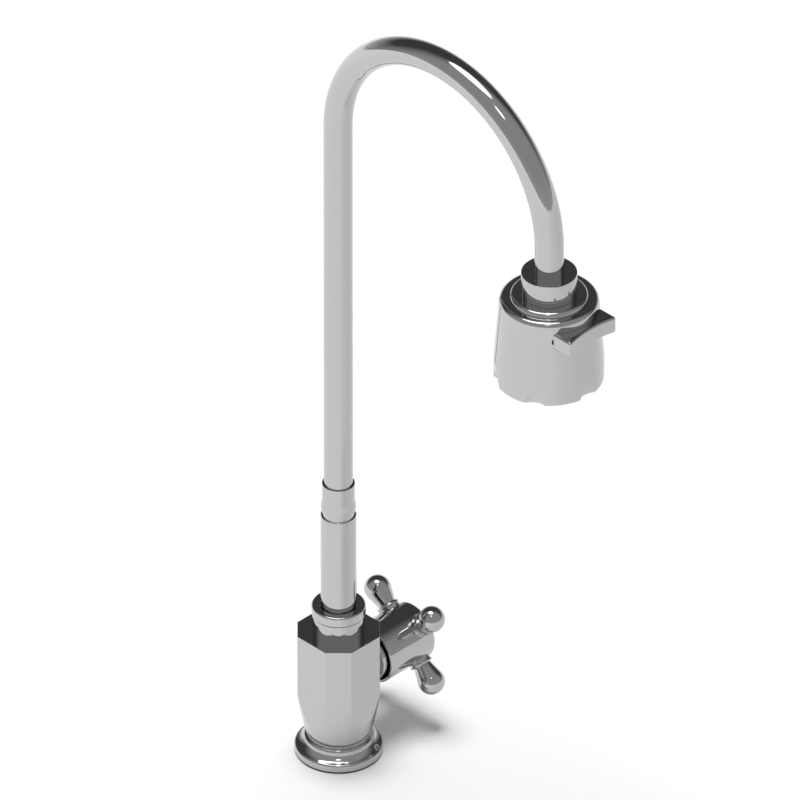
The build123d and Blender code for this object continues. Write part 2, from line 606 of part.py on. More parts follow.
def make_body():
    flat = LONG_FACE_APOTHEM
    half = LONG_FACE_HALF_WIDTH
    quarter = [(flat, half), (half, flat)]
    mirrored = [(-x, y) for x, y in reversed(quarter)]
    upper_half = quarter + mirrored
    corners = upper_half + [(-x, -y) for x, y in upper_half]
    prism = extrude(make_face(Polyline(*corners, close=True)), BODY_TOP)

    corner_radius = hypot(flat, half) + CORNER_ALLOWANCE
    waist_top = WAIST_BOTTOM + WAIST_HEIGHT
    waist = ThreePointArc(
        (WAIST_FOOT_RADIUS, WAIST_BOTTOM),
        (WAIST_MIDDLE_RADIUS, WAIST_BOTTOM + WAIST_MIDDLE_RISE),
        (corner_radius, waist_top),
    )
    rest = Polyline(
        (corner_radius, waist_top),
        (corner_radius, BODY_TOP),
        (0, BODY_TOP),
        (0, BODY_BOTTOM),
        (NECK_GROOVE_RADIUS, BODY_BOTTOM),
        (NECK_GROOVE_RADIUS, WAIST_BOTTOM),
        (WAIST_FOOT_RADIUS, WAIST_BOTTOM),
    )
    body = prism & turned_curves(waist + rest)

    chamber_top = SHANK_TOP + INLET_CHAMBER_HEIGHT
    body -= rod(SHANK_SOCKET_RADIUS, BODY_BOTTOM, chamber_top)
    body -= rod(INLET_CHAMBER_RADIUS, SHANK_TOP, chamber_top)
    body -= Pos(-INLET_PASSAGE_OFFSET, 0, 0) * rod(
        INLET_PASSAGE_RADIUS, SHANK_TOP, HANDLE_HEIGHT + INLET_PASSAGE_RADIUS
    )
    body -= Pos(WINDOW_START + WINDOW_LENGTH / 2, 0, 0) * rod(
        OUTLET_BORE_RADIUS, HANDLE_HEIGHT, ADAPTER_BOTTOM
    )
    body -= rod(ADAPTER_SPIGOT_RADIUS + THREAD_CLEARANCE, ADAPTER_BOTTOM, BODY_TOP)
    side_bores = rod(SEAT_PORT_RADIUS, -INLET_PASSAGE_OFFSET, SEAT_DISTANCE)
    side_bores += rod(BARREL_HOLE_RADIUS, SEAT_DISTANCE, LONG_FACE_APOTHEM)
    side_bores += rod(WINDOW_CHAMBER_RADIUS, MOVING_DISC_END, SPINDLE_FLANGE_START)
    side_bores += rod(CARTRIDGE_THREAD_BORE, BARREL_END, LONG_FACE_APOTHEM)
    return body - ON_HANDLE * side_bores


def make_neck_adapter():
    thread_top = ADAPTER_TOP + ADAPTER_THREAD_HEIGHT
    return turned(
        (ADAPTER_BORE, ADAPTER_BOTTOM),
        (ADAPTER_SPIGOT_RADIUS, ADAPTER_BOTTOM),
        (ADAPTER_SPIGOT_RADIUS, BODY_TOP),
        (ADAPTER_RADIUS, BODY_TOP),
        (ADAPTER_RADIUS, ADAPTER_TOP),
        (ADAPTER_THREAD_RADIUS, ADAPTER_TOP),
        (ADAPTER_THREAD_RADIUS, thread_top),
        (GLAND_RADIUS, thread_top),
        (GLAND_RADIUS, GLAND_BOTTOM),
        (ADAPTER_BORE, GLAND_BOTTOM),
    )


def make_neck_nut():
    thread_bore = ADAPTER_THREAD_RADIUS + THREAD_CLEARANCE
    lip_bottom = NECK_NUT_TOP - NECK_NUT_LIP
    nut = turned(
        (thread_bore, NECK_NUT_BOTTOM),
        (NECK_NUT_RADIUS, NECK_NUT_BOTTOM),
        (NECK_NUT_RADIUS, NECK_NUT_TOP),
        (NECK_NUT_BORE, NECK_NUT_TOP),
        (NECK_NUT_BORE, GLAND_TOP),
        (GLAND_RADIUS - LOOSE_CLEARANCE, GLAND_TOP),
        (GLAND_RADIUS - LOOSE_CLEARANCE, lip_bottom),
        (thread_bore, lip_bottom),
    )
    top_edge = nut.edges().filter_by(GeomType.CIRCLE).sort_by(SortBy.RADIUS)[-2:]
    return fillet(top_edge.sort_by(Axis.Z)[-1], NECK_NUT_ROUNDING)


def make_swivel_washers():
    outer = GLAND_RADIUS - THREAD_CLEARANCE
    lower = ring(outer, SWIVEL_WASHER_BORE, GLAND_BOTTOM, SLEEVE_FLANGE_BOTTOM)
    upper = ring(outer, SWIVEL_WASHER_BORE, SLEEVE_FLANGE_TOP, GLAND_TOP)
    return Compound([lower.solid(), upper.solid()])


def o_ring_heights():
    lower = SLEEVE_BOTTOM + LOWER_O_RING_RISE
    return (lower, lower + O_RING_SPACING)


def make_spout_sleeve():
    sleeve = ring(SLEEVE_RADIUS, SLEEVE_BORE, SLEEVE_BOTTOM, SLEEVE_TOP)
    rim = sleeve.edges().filter_by(GeomType.CIRCLE).sort_by(Axis.Z)[-2:]
    sleeve = fillet(rim.sort_by(SortBy.RADIUS)[-1], SLEEVE_ROUNDING)
    sleeve += ring(
        SLEEVE_FLANGE_RADIUS, SLEEVE_BORE, SLEEVE_FLANGE_BOTTOM, SLEEVE_FLANGE_TOP
    )
    for height in o_ring_heights():
        sleeve -= ring(
            SLEEVE_RADIUS + 1,
            SLEEVE_RADIUS - O_RING_GROOVE_DEPTH,
            height - O_RING_GROOVE_WIDTH / 2,
            height + O_RING_GROOVE_WIDTH / 2,
        )
    return sleeve


def make_spout_o_rings():
    floor = SLEEVE_RADIUS - O_RING_GROOVE_DEPTH + SEALING_GAP
    crown = ADAPTER_BORE - SEALING_GAP
    section = (crown - floor) / 2
    rings = [o_ring(floor + section, section, height) for height in o_ring_heights()]
    return Compound([r.solid() for r in rings])


def make_spout_collar():
    middle = (COLLAR_BEAD_BOTTOM + COLLAR_BEAD_TOP) / 2
    below = Polyline((COLLAR_RADIUS, SLEEVE_TOP), (COLLAR_RADIUS, COLLAR_BEAD_BOTTOM))
    bead = ThreePointArc(
        (COLLAR_RADIUS, COLLAR_BEAD_BOTTOM),
        (COLLAR_BEAD_RADIUS, middle),
        (COLLAR_RADIUS, COLLAR_BEAD_TOP),
    )
    above = Polyline(
        (COLLAR_RADIUS, COLLAR_BEAD_TOP),
        (COLLAR_RADIUS, COLLAR_TOP),
        (SLEEVE_BORE, COLLAR_TOP),
        (SLEEVE_BORE, SLEEVE_TOP),
        (COLLAR_RADIUS, SLEEVE_TOP),
    )
    return turned_curves(below + bead + above)


def make_gooseneck_tube():
    riser = Line((0, 0, TUBE_BOTTOM), (0, 0, BEND_HEIGHT))
    bend = ThreePointArc(
        (0, 0, BEND_HEIGHT),
        (0, -BEND_RADIUS, BEND_HEIGHT + BEND_RADIUS),
        (0, -REACH, BEND_HEIGHT),
    )
    drop = Line((0, -REACH, BEND_HEIGHT), (0, -REACH, TUBE_END))
    section = Circle(TUBE_RADIUS) - Circle(TUBE_RADIUS - TUBE_WALL)
    return sweep(Pos(0, 0, TUBE_BOTTOM) * section, path=riser + bend + drop)


def make_spout_end_fitting():
    return ON_HEAD * turned(
        (FITTING_BORE_RADIUS, FITTING_BOTTOM),
        (CONNECTOR_THREAD_RADIUS, FITTING_BOTTOM),
        (CONNECTOR_THREAD_RADIUS, CONNECTOR_CAVITY_TOP),
        (SLEEVE_BORE, CONNECTOR_CAVITY_TOP),
        (SLEEVE_BORE, TUBE_END),
        (FITTING_BORE_RADIUS, TUBE_END),
    )


def make_connector_nut():
    top_hole = TUBE_RADIUS + RUNNING_CLEARANCE
    cavity = CONNECTOR_THREAD_RADIUS + THREAD_CLEARANCE
    lip_bore = STEM_RADIUS + STEM_LIP_GAP
    nut = turned(
        (lip_bore, CONNECTOR_BOTTOM),
        (CONNECTOR_RADIUS - CONNECTOR_CHAMFER, CONNECTOR_BOTTOM),
        (CONNECTOR_RADIUS, CONNECTOR_BOTTOM + CONNECTOR_CHAMFER),
        (CONNECTOR_RADIUS, CONNECTOR_TOP - CONNECTOR_CHAMFER),
        (CONNECTOR_RADIUS - CONNECTOR_CHAMFER, CONNECTOR_TOP),
        (top_hole, CONNECTOR_TOP),
        (top_hole, CONNECTOR_CAVITY_TOP),
        (cavity, CONNECTOR_CAVITY_TOP),
        (cavity, CONNECTOR_CAVITY_BOTTOM),
        (lip_bore, CONNECTOR_CAVITY_BOTTOM),
    )
    return ON_HEAD * nut


def make_stem_washer():
    return ON_HEAD * ring(
        STEM_FLANGE_RADIUS, FITTING_BORE_RADIUS, STEM_WASHER_BOTTOM, FITTING_BOTTOM
    )


def make_swivel_stem():
    groove_radius = STEM_RADIUS - STEM_GROOVE_DEPTH
    groove_bottom = STEM_CLIP_HEIGHT - THREAD_CLEARANCE
    groove_top = STEM_CLIP_HEIGHT + STEM_CLIP_THICKNESS + THREAD_CLEARANCE
    return ON_HEAD * turned(
        (STEM_BORE_RADIUS, STEM_BOTTOM),
        (STEM_RADIUS, STEM_BOTTOM),
        (STEM_RADIUS, groove_bottom),
        (groove_radius, groove_bottom),
        (groove_radius, groove_top),
        (STEM_RADIUS, groove_top),
        (STEM_RADIUS, CONNECTOR_CAVITY_BOTTOM),
        (STEM_FLANGE_RADIUS, CONNECTOR_CAVITY_BOTTOM),
        (STEM_FLANGE_RADIUS, STEM_WASHER_BOTTOM),
        (STEM_BORE_RADIUS, STEM_WASHER_BOTTOM),
    )


def make_stem_clip():
    return ON_HEAD * open_clip(
        STEM_RADIUS - STEM_GROOVE_DEPTH + THREAD_CLEARANCE,
        STEM_CLIP_RADIUS,
        STEM_CLIP_HEIGHT,
        STEM_CLIP_HEIGHT + STEM_CLIP_THICKNESS,
    )


def finger_scoop():
    """Slanted round cutter that opens one scoop on the -Y side of the rim."""
    slope = atan2(SCOOP_DEPTH, SCOOP_HEIGHT)
    radius = (SCOOP_WIDTH**2 / 4 + SCOOP_DEPTH**2) / (2 * SCOOP_DEPTH)
    distance = HEAD_RADIUS - SCOOP_DEPTH + radius / cos(slope)
    cutter = Cylinder(radius, 4 * SCOOP_HEIGHT)
    return Pos(0, -distance, HEAD_BOTTOM) * Rot(degrees(slope), 0, 0) * cutter


def lever_slot():
    """Round-ended slot through the bell's wall for the selector's arm."""
    low = ARM_BOTTOM - SLOT_CLEARANCE
    high = ARM_TOP + SLOT_CLEARANCE
    end_radius = (high - low) / 2
    end_angle = SLOT_HALF_ANGLE - degrees(end_radius / HEAD_SHOULDER_RADIUS)
    inner = HEAD_BORE_RADIUS - 1
    outer = HEAD_RADIUS + 1
    slot = sector(inner, outer, 2 * end_angle, low, high)
    for side in (-1, 1):
        drill = Pos(0, 0, (low + high) / 2) * Rot(90, 0, 0) * rod(end_radius, inner, outer)
        slot += Rot(0, 0, side * end_angle) * drill
    return slot


def make_head_housing():
    wall = Polyline(
        (HEAD_BORE_RADIUS, HEAD_BOTTOM),
        (HEAD_RADIUS, HEAD_BOTTOM),
        (HEAD_RADIUS, HEAD_KINK_HEIGHT),
        (HEAD_SHOULDER_RADIUS, HEAD_SHOULDER_HEIGHT),
    )
    shoulder = rounded_edge(HEAD_SHOULDER_RADIUS, HEAD_TOP_HEIGHT, HEAD_SHOULDER_ROUNDING)
    top = Polyline(
        (HEAD_SHOULDER_RADIUS - HEAD_SHOULDER_ROUNDING, HEAD_TOP_HEIGHT),
        (HEAD_DISC_RADIUS, HEAD_TOP_HEIGHT),
        (HEAD_DISC_RADIUS, HEAD_DISC_TOP - HEAD_DISC_ROUNDING),
    )
    disc = rounded_edge(HEAD_DISC_RADIUS, HEAD_DISC_TOP, HEAD_DISC_ROUNDING)
    recess = BUSH_FLANGE_RADIUS + LOOSE_CLEARANCE
    inside = Polyline(
        (HEAD_DISC_RADIUS - HEAD_DISC_ROUNDING, HEAD_DISC_TOP),
        (recess, HEAD_DISC_TOP),
        (recess, BUSH_SEAT),
        (BUSH_HOLE_RADIUS, BUSH_SEAT),
        (BUSH_HOLE_RADIUS, HEAD_CEILING),
        (HEAD_BORE_RADIUS, HEAD_CEILING),
        (HEAD_BORE_RADIUS, HEAD_BOTTOM),
    )
    housing = turned_curves(wall + shoulder + top + disc + inside)
    for k in range(SCOOP_COUNT):
        housing -= Rot(0, 0, 360 * k / SCOOP_COUNT) * finger_scoop()
    return ON_HEAD * (housing - lever_slot())


def make_stem_bush():
    flange_top = BUSH_SEAT + BUSH_FLANGE_THICKNESS
    return ON_HEAD * turned(
        (BUSH_BORE, BUSH_BOTTOM),
        (BUSH_RADIUS, BUSH_BOTTOM),
        (BUSH_RADIUS, BUSH_SEAT),
        (BUSH_FLANGE_RADIUS, BUSH_SEAT),
        (BUSH_FLANGE_RADIUS, flange_top),
        (BUSH_BORE, flange_top),
    )


def port_turn(k):
    """Turn that brings a feature on -Y to the place of spray port k."""
    return Rot(0, 0, 360 * k / SPRAY_PORT_COUNT)


def spray_port(low, high):
    return Pos(0, -SPRAY_PORT_CIRCLE, 0) * rod(SPRAY_PORT_RADIUS, low, high)


def make_head_core():
    boss_radius = AERATOR_HOLE_RADIUS + CORE_RIM_WIDTH
    core = turned(
        (AERATOR_HOLE_RADIUS, SPRAY_PLATE_TOP),
        (boss_radius, SPRAY_PLATE_TOP),
        (boss_radius, CORE_BOTTOM),
        (CORE_RIM_INNER, CORE_BOTTOM),
        (CORE_RIM_INNER, SPRAY_PLATE_TOP),
        (CORE_RADIUS, SPRAY_PLATE_TOP),
        (CORE_RADIUS, SHOULDER_HEIGHT),
        (CORE_NECK_RADIUS, SHOULDER_HEIGHT),
        (CORE_NECK_RADIUS, HEAD_CEILING),
        (BUSH_HOLE_RADIUS, HEAD_CEILING),
        (BUSH_HOLE_RADIUS, BUSH_BOTTOM),
        (CORE_CAVITY_RADIUS, BUSH_BOTTOM),
        (CORE_CAVITY_RADIUS, CORE_CAVITY_FLOOR),
        (AERATOR_HOLE_RADIUS, CORE_CAVITY_FLOOR),
    )
    for k in range(SPRAY_PORT_COUNT):
        cross_hole = Pos(0, 0, CROSS_HOLE_HEIGHT) * Rot(90, 0, 0) * rod(
            CROSS_HOLE_RADIUS, CORE_CAVITY_RADIUS - 1, CORE_NECK_RADIUS + 1
        )
        core -= port_turn(k) * (spray_port(CORE_BOTTOM, SHOULDER_HEIGHT) + cross_hole)
    core -= ring(
        CORE_RADIUS + 1,
        CORE_RADIUS - 2 * CORE_O_RING_SECTION,
        CORE_O_RING_HEIGHT - 1.3 * CORE_O_RING_SECTION,
        CORE_O_RING_HEIGHT + 1.3 * CORE_O_RING_SECTION,
    )
    return ON_HEAD * core


def make_core_o_ring():
    floor = CORE_RADIUS - 2 * CORE_O_RING_SECTION + SEALING_GAP
    return ON_HEAD * o_ring(floor + CORE_O_RING_SECTION, CORE_O_RING_SECTION, CORE_O_RING_HEIGHT)


def make_port_seal():
    top = SHOULDER_HEIGHT + PORT_SEAL_THICKNESS
    seal = ring(SELECTOR_RING_OUTER, SELECTOR_RING_INNER, SHOULDER_HEIGHT, top)
    for k in range(SPRAY_PORT_COUNT):
        seal -= port_turn(k) * spray_port(SHOULDER_HEIGHT, top)
    return ON_HEAD * seal


def make_spray_plate():
    plate = ring(
        CORE_RADIUS,
        AERATOR_THREAD_RADIUS + LOOSE_CLEARANCE,
        SPRAY_PLATE_BOTTOM,
        SPRAY_PLATE_TOP,
    )
    drills = []
    for row in range(SPRAY_CIRCLE_COUNT):
        circle = CORE_RIM_INNER - 4 * SPRAY_HOLE_RADIUS - row * SPRAY_CIRCLE_STEP
        count = round(2 * pi * circle / SPRAY_HOLE_SPACING)
        for k in range(count):
            angle = 2 * pi * k / count
            drills.append(
                Pos(circle * cos(angle), circle * sin(angle), 0)
                * rod(SPRAY_HOLE_RADIUS, SPRAY_PLATE_BOTTOM, SPRAY_PLATE_TOP)
            )
    return ON_HEAD * (plate - drills)


def make_aerator_body():
    ledge_bore = AERATOR_BORE_RADIUS - AERATOR_LEDGE
    return ON_HEAD * turned(
        (ledge_bore, AERATOR_BOTTOM),
        (AERATOR_FLANGE_RADIUS, AERATOR_BOTTOM),
        (AERATOR_FLANGE_RADIUS, SPRAY_PLATE_BOTTOM),
        (AERATOR_THREAD_RADIUS, SPRAY_PLATE_BOTTOM),
        (AERATOR_THREAD_RADIUS, AERATOR_TOP),
        (AERATOR_BORE_RADIUS, AERATOR_TOP),
        (AERATOR_BORE_RADIUS, SPRAY_PLATE_BOTTOM),
        (ledge_bore, SPRAY_PLATE_BOTTOM),
    )


def make_aerator_grille():
    bottom = SPRAY_PLATE_BOTTOM
    top = bottom + GRILLE_THICKNESS
    disc = rod(AERATOR_BORE_RADIUS - THREAD_CLEARANCE, bottom, top)
    drills = []
    for row in range(-GRILLE_ROWS, GRILLE_ROWS + 1):
        in_row = 2 * GRILLE_ROWS + 1 - abs(row)
        for k in range(in_row):
            x = (k - (in_row - 1) / 2) * GRILLE_HOLE_SPACING
            y = row * GRILLE_HOLE_SPACING * sqrt(3) / 2
            drills.append(Pos(x, y, 0) * rod(GRILLE_HOLE_RADIUS, bottom, top))
    return ON_HEAD * (disc - drills)


def selector_arm(half_width, reach, low, high):
    """Flat bar that runs out through the head's slot towards -Y."""
    inner = (SELECTOR_RING_INNER + SELECTOR_RING_OUTER) / 2
    return Pos(0, -(inner + reach) / 2, 0) * block(2 * half_width, reach - inner, low, high)


def pin_places():
    return [(side * PIN_OFFSET, -PIN_REACH) for side in (-1, 1)]


def lever_pin():
    return rod(PIN_RADIUS, LEVER_BOTTOM + PIN_INSET, LEVER_TOP - PIN_INSET)


def pin_hole():
    return rod(PIN_RADIUS + THREAD_CLEARANCE, LEVER_BOTTOM, LEVER_TOP - PIN_INSET)


def make_selector_ring():
    selector = ring(
        SELECTOR_RING_OUTER, SELECTOR_RING_INNER, SELECTOR_RING_BOTTOM, SELECTOR_RING_TOP
    )
    pocket = sector(
        SELECTOR_RING_INNER - 1,
        POCKET_OUTER,
        2 * POCKET_HALF_ANGLE,
        SELECTOR_RING_BOTTOM,
        SELECTOR_RING_BOTTOM + POCKET_DEPTH,
    )
    for k in range(SPRAY_PORT_COUNT):
        selector -= Rot(0, 0, -SELECTOR_TRAVEL) * port_turn(k) * pocket
    selector += selector_arm(ARM_HALF_WIDTH, ARM_REACH, ARM_BOTTOM, ARM_TOP)
    for x, y in pin_places():
        selector -= Pos(x, y, 0) * pin_hole()
    return ON_HEAD * selector


def make_selector_lever():
    half = LEVER_HALF_LENGTH
    back = head_wall_radius(LEVER_TOP) / 2
    front = ThreePointArc(
        (-half, -LEVER_END_REACH), (0, -LEVER_MIDDLE_REACH), (half, -LEVER_END_REACH)
    )
    sides = Polyline(
        (half, -LEVER_END_REACH), (half, -back), (-half, -back), (-half, -LEVER_END_REACH)
    )
    bar = Pos(0, 0, LEVER_BOTTOM) * extrude(
        make_face(front + sides), LEVER_TOP - LEVER_BOTTOM
    )
    wall = turned(
        (0, LEVER_BOTTOM - 1),
        (head_wall_radius(LEVER_BOTTOM - 1) + LEVER_WALL_GAP, LEVER_BOTTOM - 1),
        (head_wall_radius(LEVER_TOP + 1) + LEVER_WALL_GAP, LEVER_TOP + 1),
        (0, LEVER_TOP + 1),
    )
    bar -= wall
    front_corners = bar.edges().filter_by(Axis.Z).group_by(Axis.Y)[0]
    bar = fillet(front_corners, LEVER_END_ROUNDING)
    outline = bar.edges().filter_by(Plane.XY)
    bar = fillet(outline, LEVER_EDGE_ROUNDING)
    play = 2 * THREAD_CLEARANCE
    bar -= selector_arm(
        ARM_HALF_WIDTH + play, ARM_REACH + play, ARM_BOTTOM - play, ARM_TOP + play
    )
    for x, y in pin_places():
        bar -= Pos(x, y, 0) * pin_hole()
    return ON_HEAD * bar


def make_lever_pins():
    pins = [Pos(x, y, 0) * lever_pin() for x, y in pin_places()]
    return Compound([(ON_HEAD * pin).solid() for pin in pins])


def make_seat_seal():
    return ON_HANDLE * ring(SEAT_SEAL_RADIUS, SEAT_PORT_RADIUS, SEAT_DISTANCE, BARREL_START)


def disc_ports(low, high):
    """Two opposite openings through a ceramic disc."""
    port = sector(DISC_PORT_INNER, DISC_PORT_OUTER, DISC_PORT_ANGLE, low, high)
    return port + Rot(0, 0, 180) * port


def make_fixed_disc():
    disc = rod(DISC_RADIUS, BARREL_START, MOVING_DISC_START)
    return ON_HANDLE * (disc - disc_ports(BARREL_START, MOVING_DISC_START))


def make_moving_disc():
    disc = rod(DISC_RADIUS, MOVING_DISC_START, MOVING_DISC_END)
    closed_ports = Rot(0, 0, 90) * disc_ports(MOVING_DISC_START, MOVING_DISC_END)
    slot = block(
        TONGUE_LENGTH + 2 * TONGUE_PLAY,
        TONGUE_WIDTH + 2 * TONGUE_PLAY,
        MOVING_DISC_END - DRIVE_SLOT_DEPTH,
        MOVING_DISC_END,
    )
    return ON_HANDLE * (disc - closed_ports - slot)


def make_cartridge_body():
    shell = turned(
        (DISC_CHAMBER_RADIUS, BARREL_START),
        (BARREL_RADIUS, BARREL_START),
        (BARREL_RADIUS, BARREL_END),
        (CARTRIDGE_THREAD_RADIUS, BARREL_END),
        (CARTRIDGE_THREAD_RADIUS, CARTRIDGE_THREAD_END),
        (CARTRIDGE_NECK_RADIUS, CARTRIDGE_THREAD_END),
        (CARTRIDGE_NECK_RADIUS, CARTRIDGE_NECK_END),
        (SPINDLE_BORE, CARTRIDGE_NECK_END),
        (SPINDLE_BORE, DISC_CHAMBER_END),
        (DISC_CHAMBER_RADIUS, DISC_CHAMBER_END),
    )
    windows = block(
        2 * BARREL_RADIUS + 2, WINDOW_WIDTH, WINDOW_START, WINDOW_END
    )
    groove = ring(
        BARREL_RADIUS + 1,
        BARREL_RADIUS - O_RING_GROOVE_DEPTH,
        CARTRIDGE_O_RING_DISTANCE - O_RING_GROOVE_WIDTH / 2,
        CARTRIDGE_O_RING_DISTANCE + O_RING_GROOVE_WIDTH / 2,
    )
    return ON_HANDLE * (shell - windows - groove)


def make_cartridge_o_ring():
    floor = BARREL_RADIUS - O_RING_GROOVE_DEPTH + SEALING_GAP
    crown = BARREL_HOLE_RADIUS - SEALING_GAP
    section = (crown - floor) / 2
    return ON_HANDLE * o_ring(floor + section, section, CARTRIDGE_O_RING_DISTANCE)


def make_bonnet_nut():
    lip_bore = CARTRIDGE_NECK_RADIUS + THREAD_CLEARANCE
    return ON_HANDLE * turned(
        (CARTRIDGE_THREAD_BORE, LONG_FACE_APOTHEM),
        (BONNET_RADIUS, LONG_FACE_APOTHEM),
        (BONNET_RADIUS, BONNET_END - BONNET_CHAMFER),
        (BONNET_RADIUS - BONNET_CHAMFER, BONNET_END),
        (lip_bore, BONNET_END),
        (lip_bore, CARTRIDGE_THREAD_END),
        (CARTRIDGE_THREAD_BORE, CARTRIDGE_THREAD_END),
    )


def make_spindle():
    tongue_start = MOVING_DISC_END - DRIVE_SLOT_DEPTH + TONGUE_PLAY
    spindle = block(TONGUE_LENGTH, TONGUE_WIDTH, tongue_start, SPINDLE_FLANGE_START)
    spindle += rod(SPINDLE_FLANGE_RADIUS, SPINDLE_FLANGE_START, SPINDLE_FLANGE_END)
    spindle += rod(SPINDLE_RADIUS, SPINDLE_FLANGE_END, SPLINE_START)
    spindle += serrated_bar(SPLINE_ROOT_RADIUS, SPLINE_TIP_RADIUS, SPLINE_START, SPLINE_END)
    spindle -= rod(SCREW_RADIUS + THREAD_CLEARANCE, SCREW_SEAT - SCREW_LENGTH - 1, SPLINE_END)
    spindle -= ring(
        SPINDLE_RADIUS + 1,
        SPINDLE_RADIUS - SPINDLE_GROOVE_DEPTH,
        SPINDLE_CLIP_START - THREAD_CLEARANCE,
        SPINDLE_CLIP_START + SPINDLE_CLIP_THICKNESS + THREAD_CLEARANCE,
    )
    return ON_HANDLE * spindle


def make_spindle_washer():
    return ON_HANDLE * ring(
        SPINDLE_FLANGE_RADIUS,
        SPINDLE_RADIUS + SLIDING_GAP,
        SPINDLE_FLANGE_END,
        SPINDLE_FLANGE_END + SPINDLE_WASHER_THICKNESS,
    )


def make_spindle_clip():
    return ON_HANDLE * open_clip(
        SPINDLE_RADIUS - SPINDLE_GROOVE_DEPTH + THREAD_CLEARANCE,
        SPINDLE_CLIP_RADIUS,
        SPINDLE_CLIP_START,
        SPINDLE_CLIP_START + SPINDLE_CLIP_THICKNESS,
    )


def arm_frame(k):
    """Frame of arm k: local Z runs out from the hub's axis along the arm."""
    return Pos(0, 0, ARM_PLANE) * Rot(0, 0, 45 + 360 * k / ARM_COUNT) * Rot(0, 90, 0)


def make_handle_hub():
    hub = turned(
        (0, HUB_CAVITY_END),
        (HUB_CAVITY_RADIUS, HUB_CAVITY_END),
        (HUB_CAVITY_RADIUS, HUB_BACK),
        (HUB_RADIUS, HUB_BACK),
        (HUB_RADIUS, HUB_FRONT),
        (0, HUB_FRONT),
    )
    outer_edges = hub.edges().filter_by(GeomType.CIRCLE).sort_by(SortBy.RADIUS)[-2:]
    hub = fillet(outer_edges.sort_by(Axis.Z)[-1], HUB_FRONT_ROUNDING)
    outer_edges = hub.edges().filter_by(GeomType.CIRCLE).sort_by(Axis.Z)[:2]
    hub = fillet(outer_edges.sort_by(SortBy.RADIUS)[-1], HUB_BACK_ROUNDING)
    hub -= serrated_bar(
        SPLINE_ROOT_RADIUS + THREAD_CLEARANCE,
        SPLINE_TIP_RADIUS + THREAD_CLEARANCE,
        HUB_CAVITY_END,
        SPLINE_END + LOOSE_CLEARANCE,
    )
    hub -= rod(SPINDLE_RADIUS + LOOSE_CLEARANCE, HUB_CAVITY_END, SPLINE_START + LOOSE_CLEARANCE)
    hub -= rod(SCREW_RADIUS + LOOSE_CLEARANCE, SPLINE_END, SCREW_SEAT)
    hub -= rod(SCREW_HEAD_RADIUS + LOOSE_CLEARANCE, SCREW_SEAT, CAP_SEAT)
    hub -= rod(CAP_RADIUS + THREAD_CLEARANCE, CAP_SEAT, HUB_FRONT)
    for k in range(ARM_COUNT):
        socket = rod(ARM_COLLAR_RADIUS + THREAD_CLEARANCE, ARM_SEAT, 2 * HUB_RADIUS)
        socket += rod(ARM_SPIGOT_RADIUS + THREAD_CLEARANCE, ARM_SPIGOT_END - 0.4, ARM_SEAT)
        hub -= arm_frame(k) * socket
    return ON_HANDLE * hub


def make_handle_arm(k):
    dx = ARM_BALL_CENTRE - ARM_COLLAR_END
    reach = hypot(dx, ARM_CONE_START_RADIUS)
    tangent = sqrt(reach**2 - ARM_BALL_RADIUS**2)
    slope = atan2(ARM_BALL_RADIUS, tangent) - atan2(ARM_CONE_START_RADIUS, dx)
    cone_end = ARM_COLLAR_END + tangent * cos(slope)
    cone_end_radius = ARM_CONE_START_RADIUS + tangent * sin(slope)
    tip = ARM_BALL_CENTRE + ARM_BALL_RADIUS
    quarter = radians(45)
    foot = Polyline(
        (0, ARM_SPIGOT_END),
        (ARM_SPIGOT_RADIUS, ARM_SPIGOT_END),
        (ARM_SPIGOT_RADIUS, ARM_SEAT),
        (ARM_COLLAR_SHANK_RADIUS, ARM_SEAT),
        (ARM_COLLAR_SHANK_RADIUS, ARM_COLLAR_BEAD),
    )
    bead = ThreePointArc(
        (ARM_COLLAR_SHANK_RADIUS, ARM_COLLAR_BEAD),
        (ARM_COLLAR_RADIUS, (ARM_COLLAR_BEAD + ARM_COLLAR_END) / 2),
        (ARM_COLLAR_SHANK_RADIUS, ARM_COLLAR_END),
    )
    cone = Polyline(
        (ARM_COLLAR_SHANK_RADIUS, ARM_COLLAR_END),
        (ARM_CONE_START_RADIUS, ARM_COLLAR_END),
        (cone_end_radius, cone_end),
    )
    ball = ThreePointArc(
        (cone_end_radius, cone_end),
        (
            ARM_BALL_RADIUS * cos(quarter),
            ARM_BALL_CENTRE + ARM_BALL_RADIUS * sin(quarter),
        ),
        (0, tip),
    )
    closing = Line((0, tip), (0, ARM_SPIGOT_END))
    arm = turned_curves(foot + bead + cone + ball + closing)
    return ON_HANDLE * arm_frame(k) * arm


def make_handle_screw():
    head_top = SCREW_SEAT + SCREW_HEAD_HEIGHT
    screw = rod(SCREW_RADIUS, SCREW_SEAT - SCREW_LENGTH, SCREW_SEAT)
    screw += rod(SCREW_HEAD_RADIUS, SCREW_SEAT, head_top)
    screw -= hexagon(SCREW_HEAD_RADIUS, head_top - SCREW_HEAD_HEIGHT / 2, head_top)
    return ON_HANDLE * screw


def make_index_cap():
    side = Polyline(
        (0, HUB_FRONT + CAP_DOME),
        (0, CAP_SEAT),
        (CAP_RADIUS, CAP_SEAT),
        (CAP_RADIUS, HUB_FRONT),
    )
    sagitta_radius = (CAP_RADIUS**2 + CAP_DOME**2) / (2 * CAP_DOME)
    middle = CAP_RADIUS / 2
    middle_height = (
        HUB_FRONT + CAP_DOME - sagitta_radius + sqrt(sagitta_radius**2 - middle**2)
    )
    dome = ThreePointArc(
        (CAP_RADIUS, HUB_FRONT), (middle, middle_height), (0, HUB_FRONT + CAP_DOME)
    )
    return ON_HANDLE * turned_curves(side + dome)


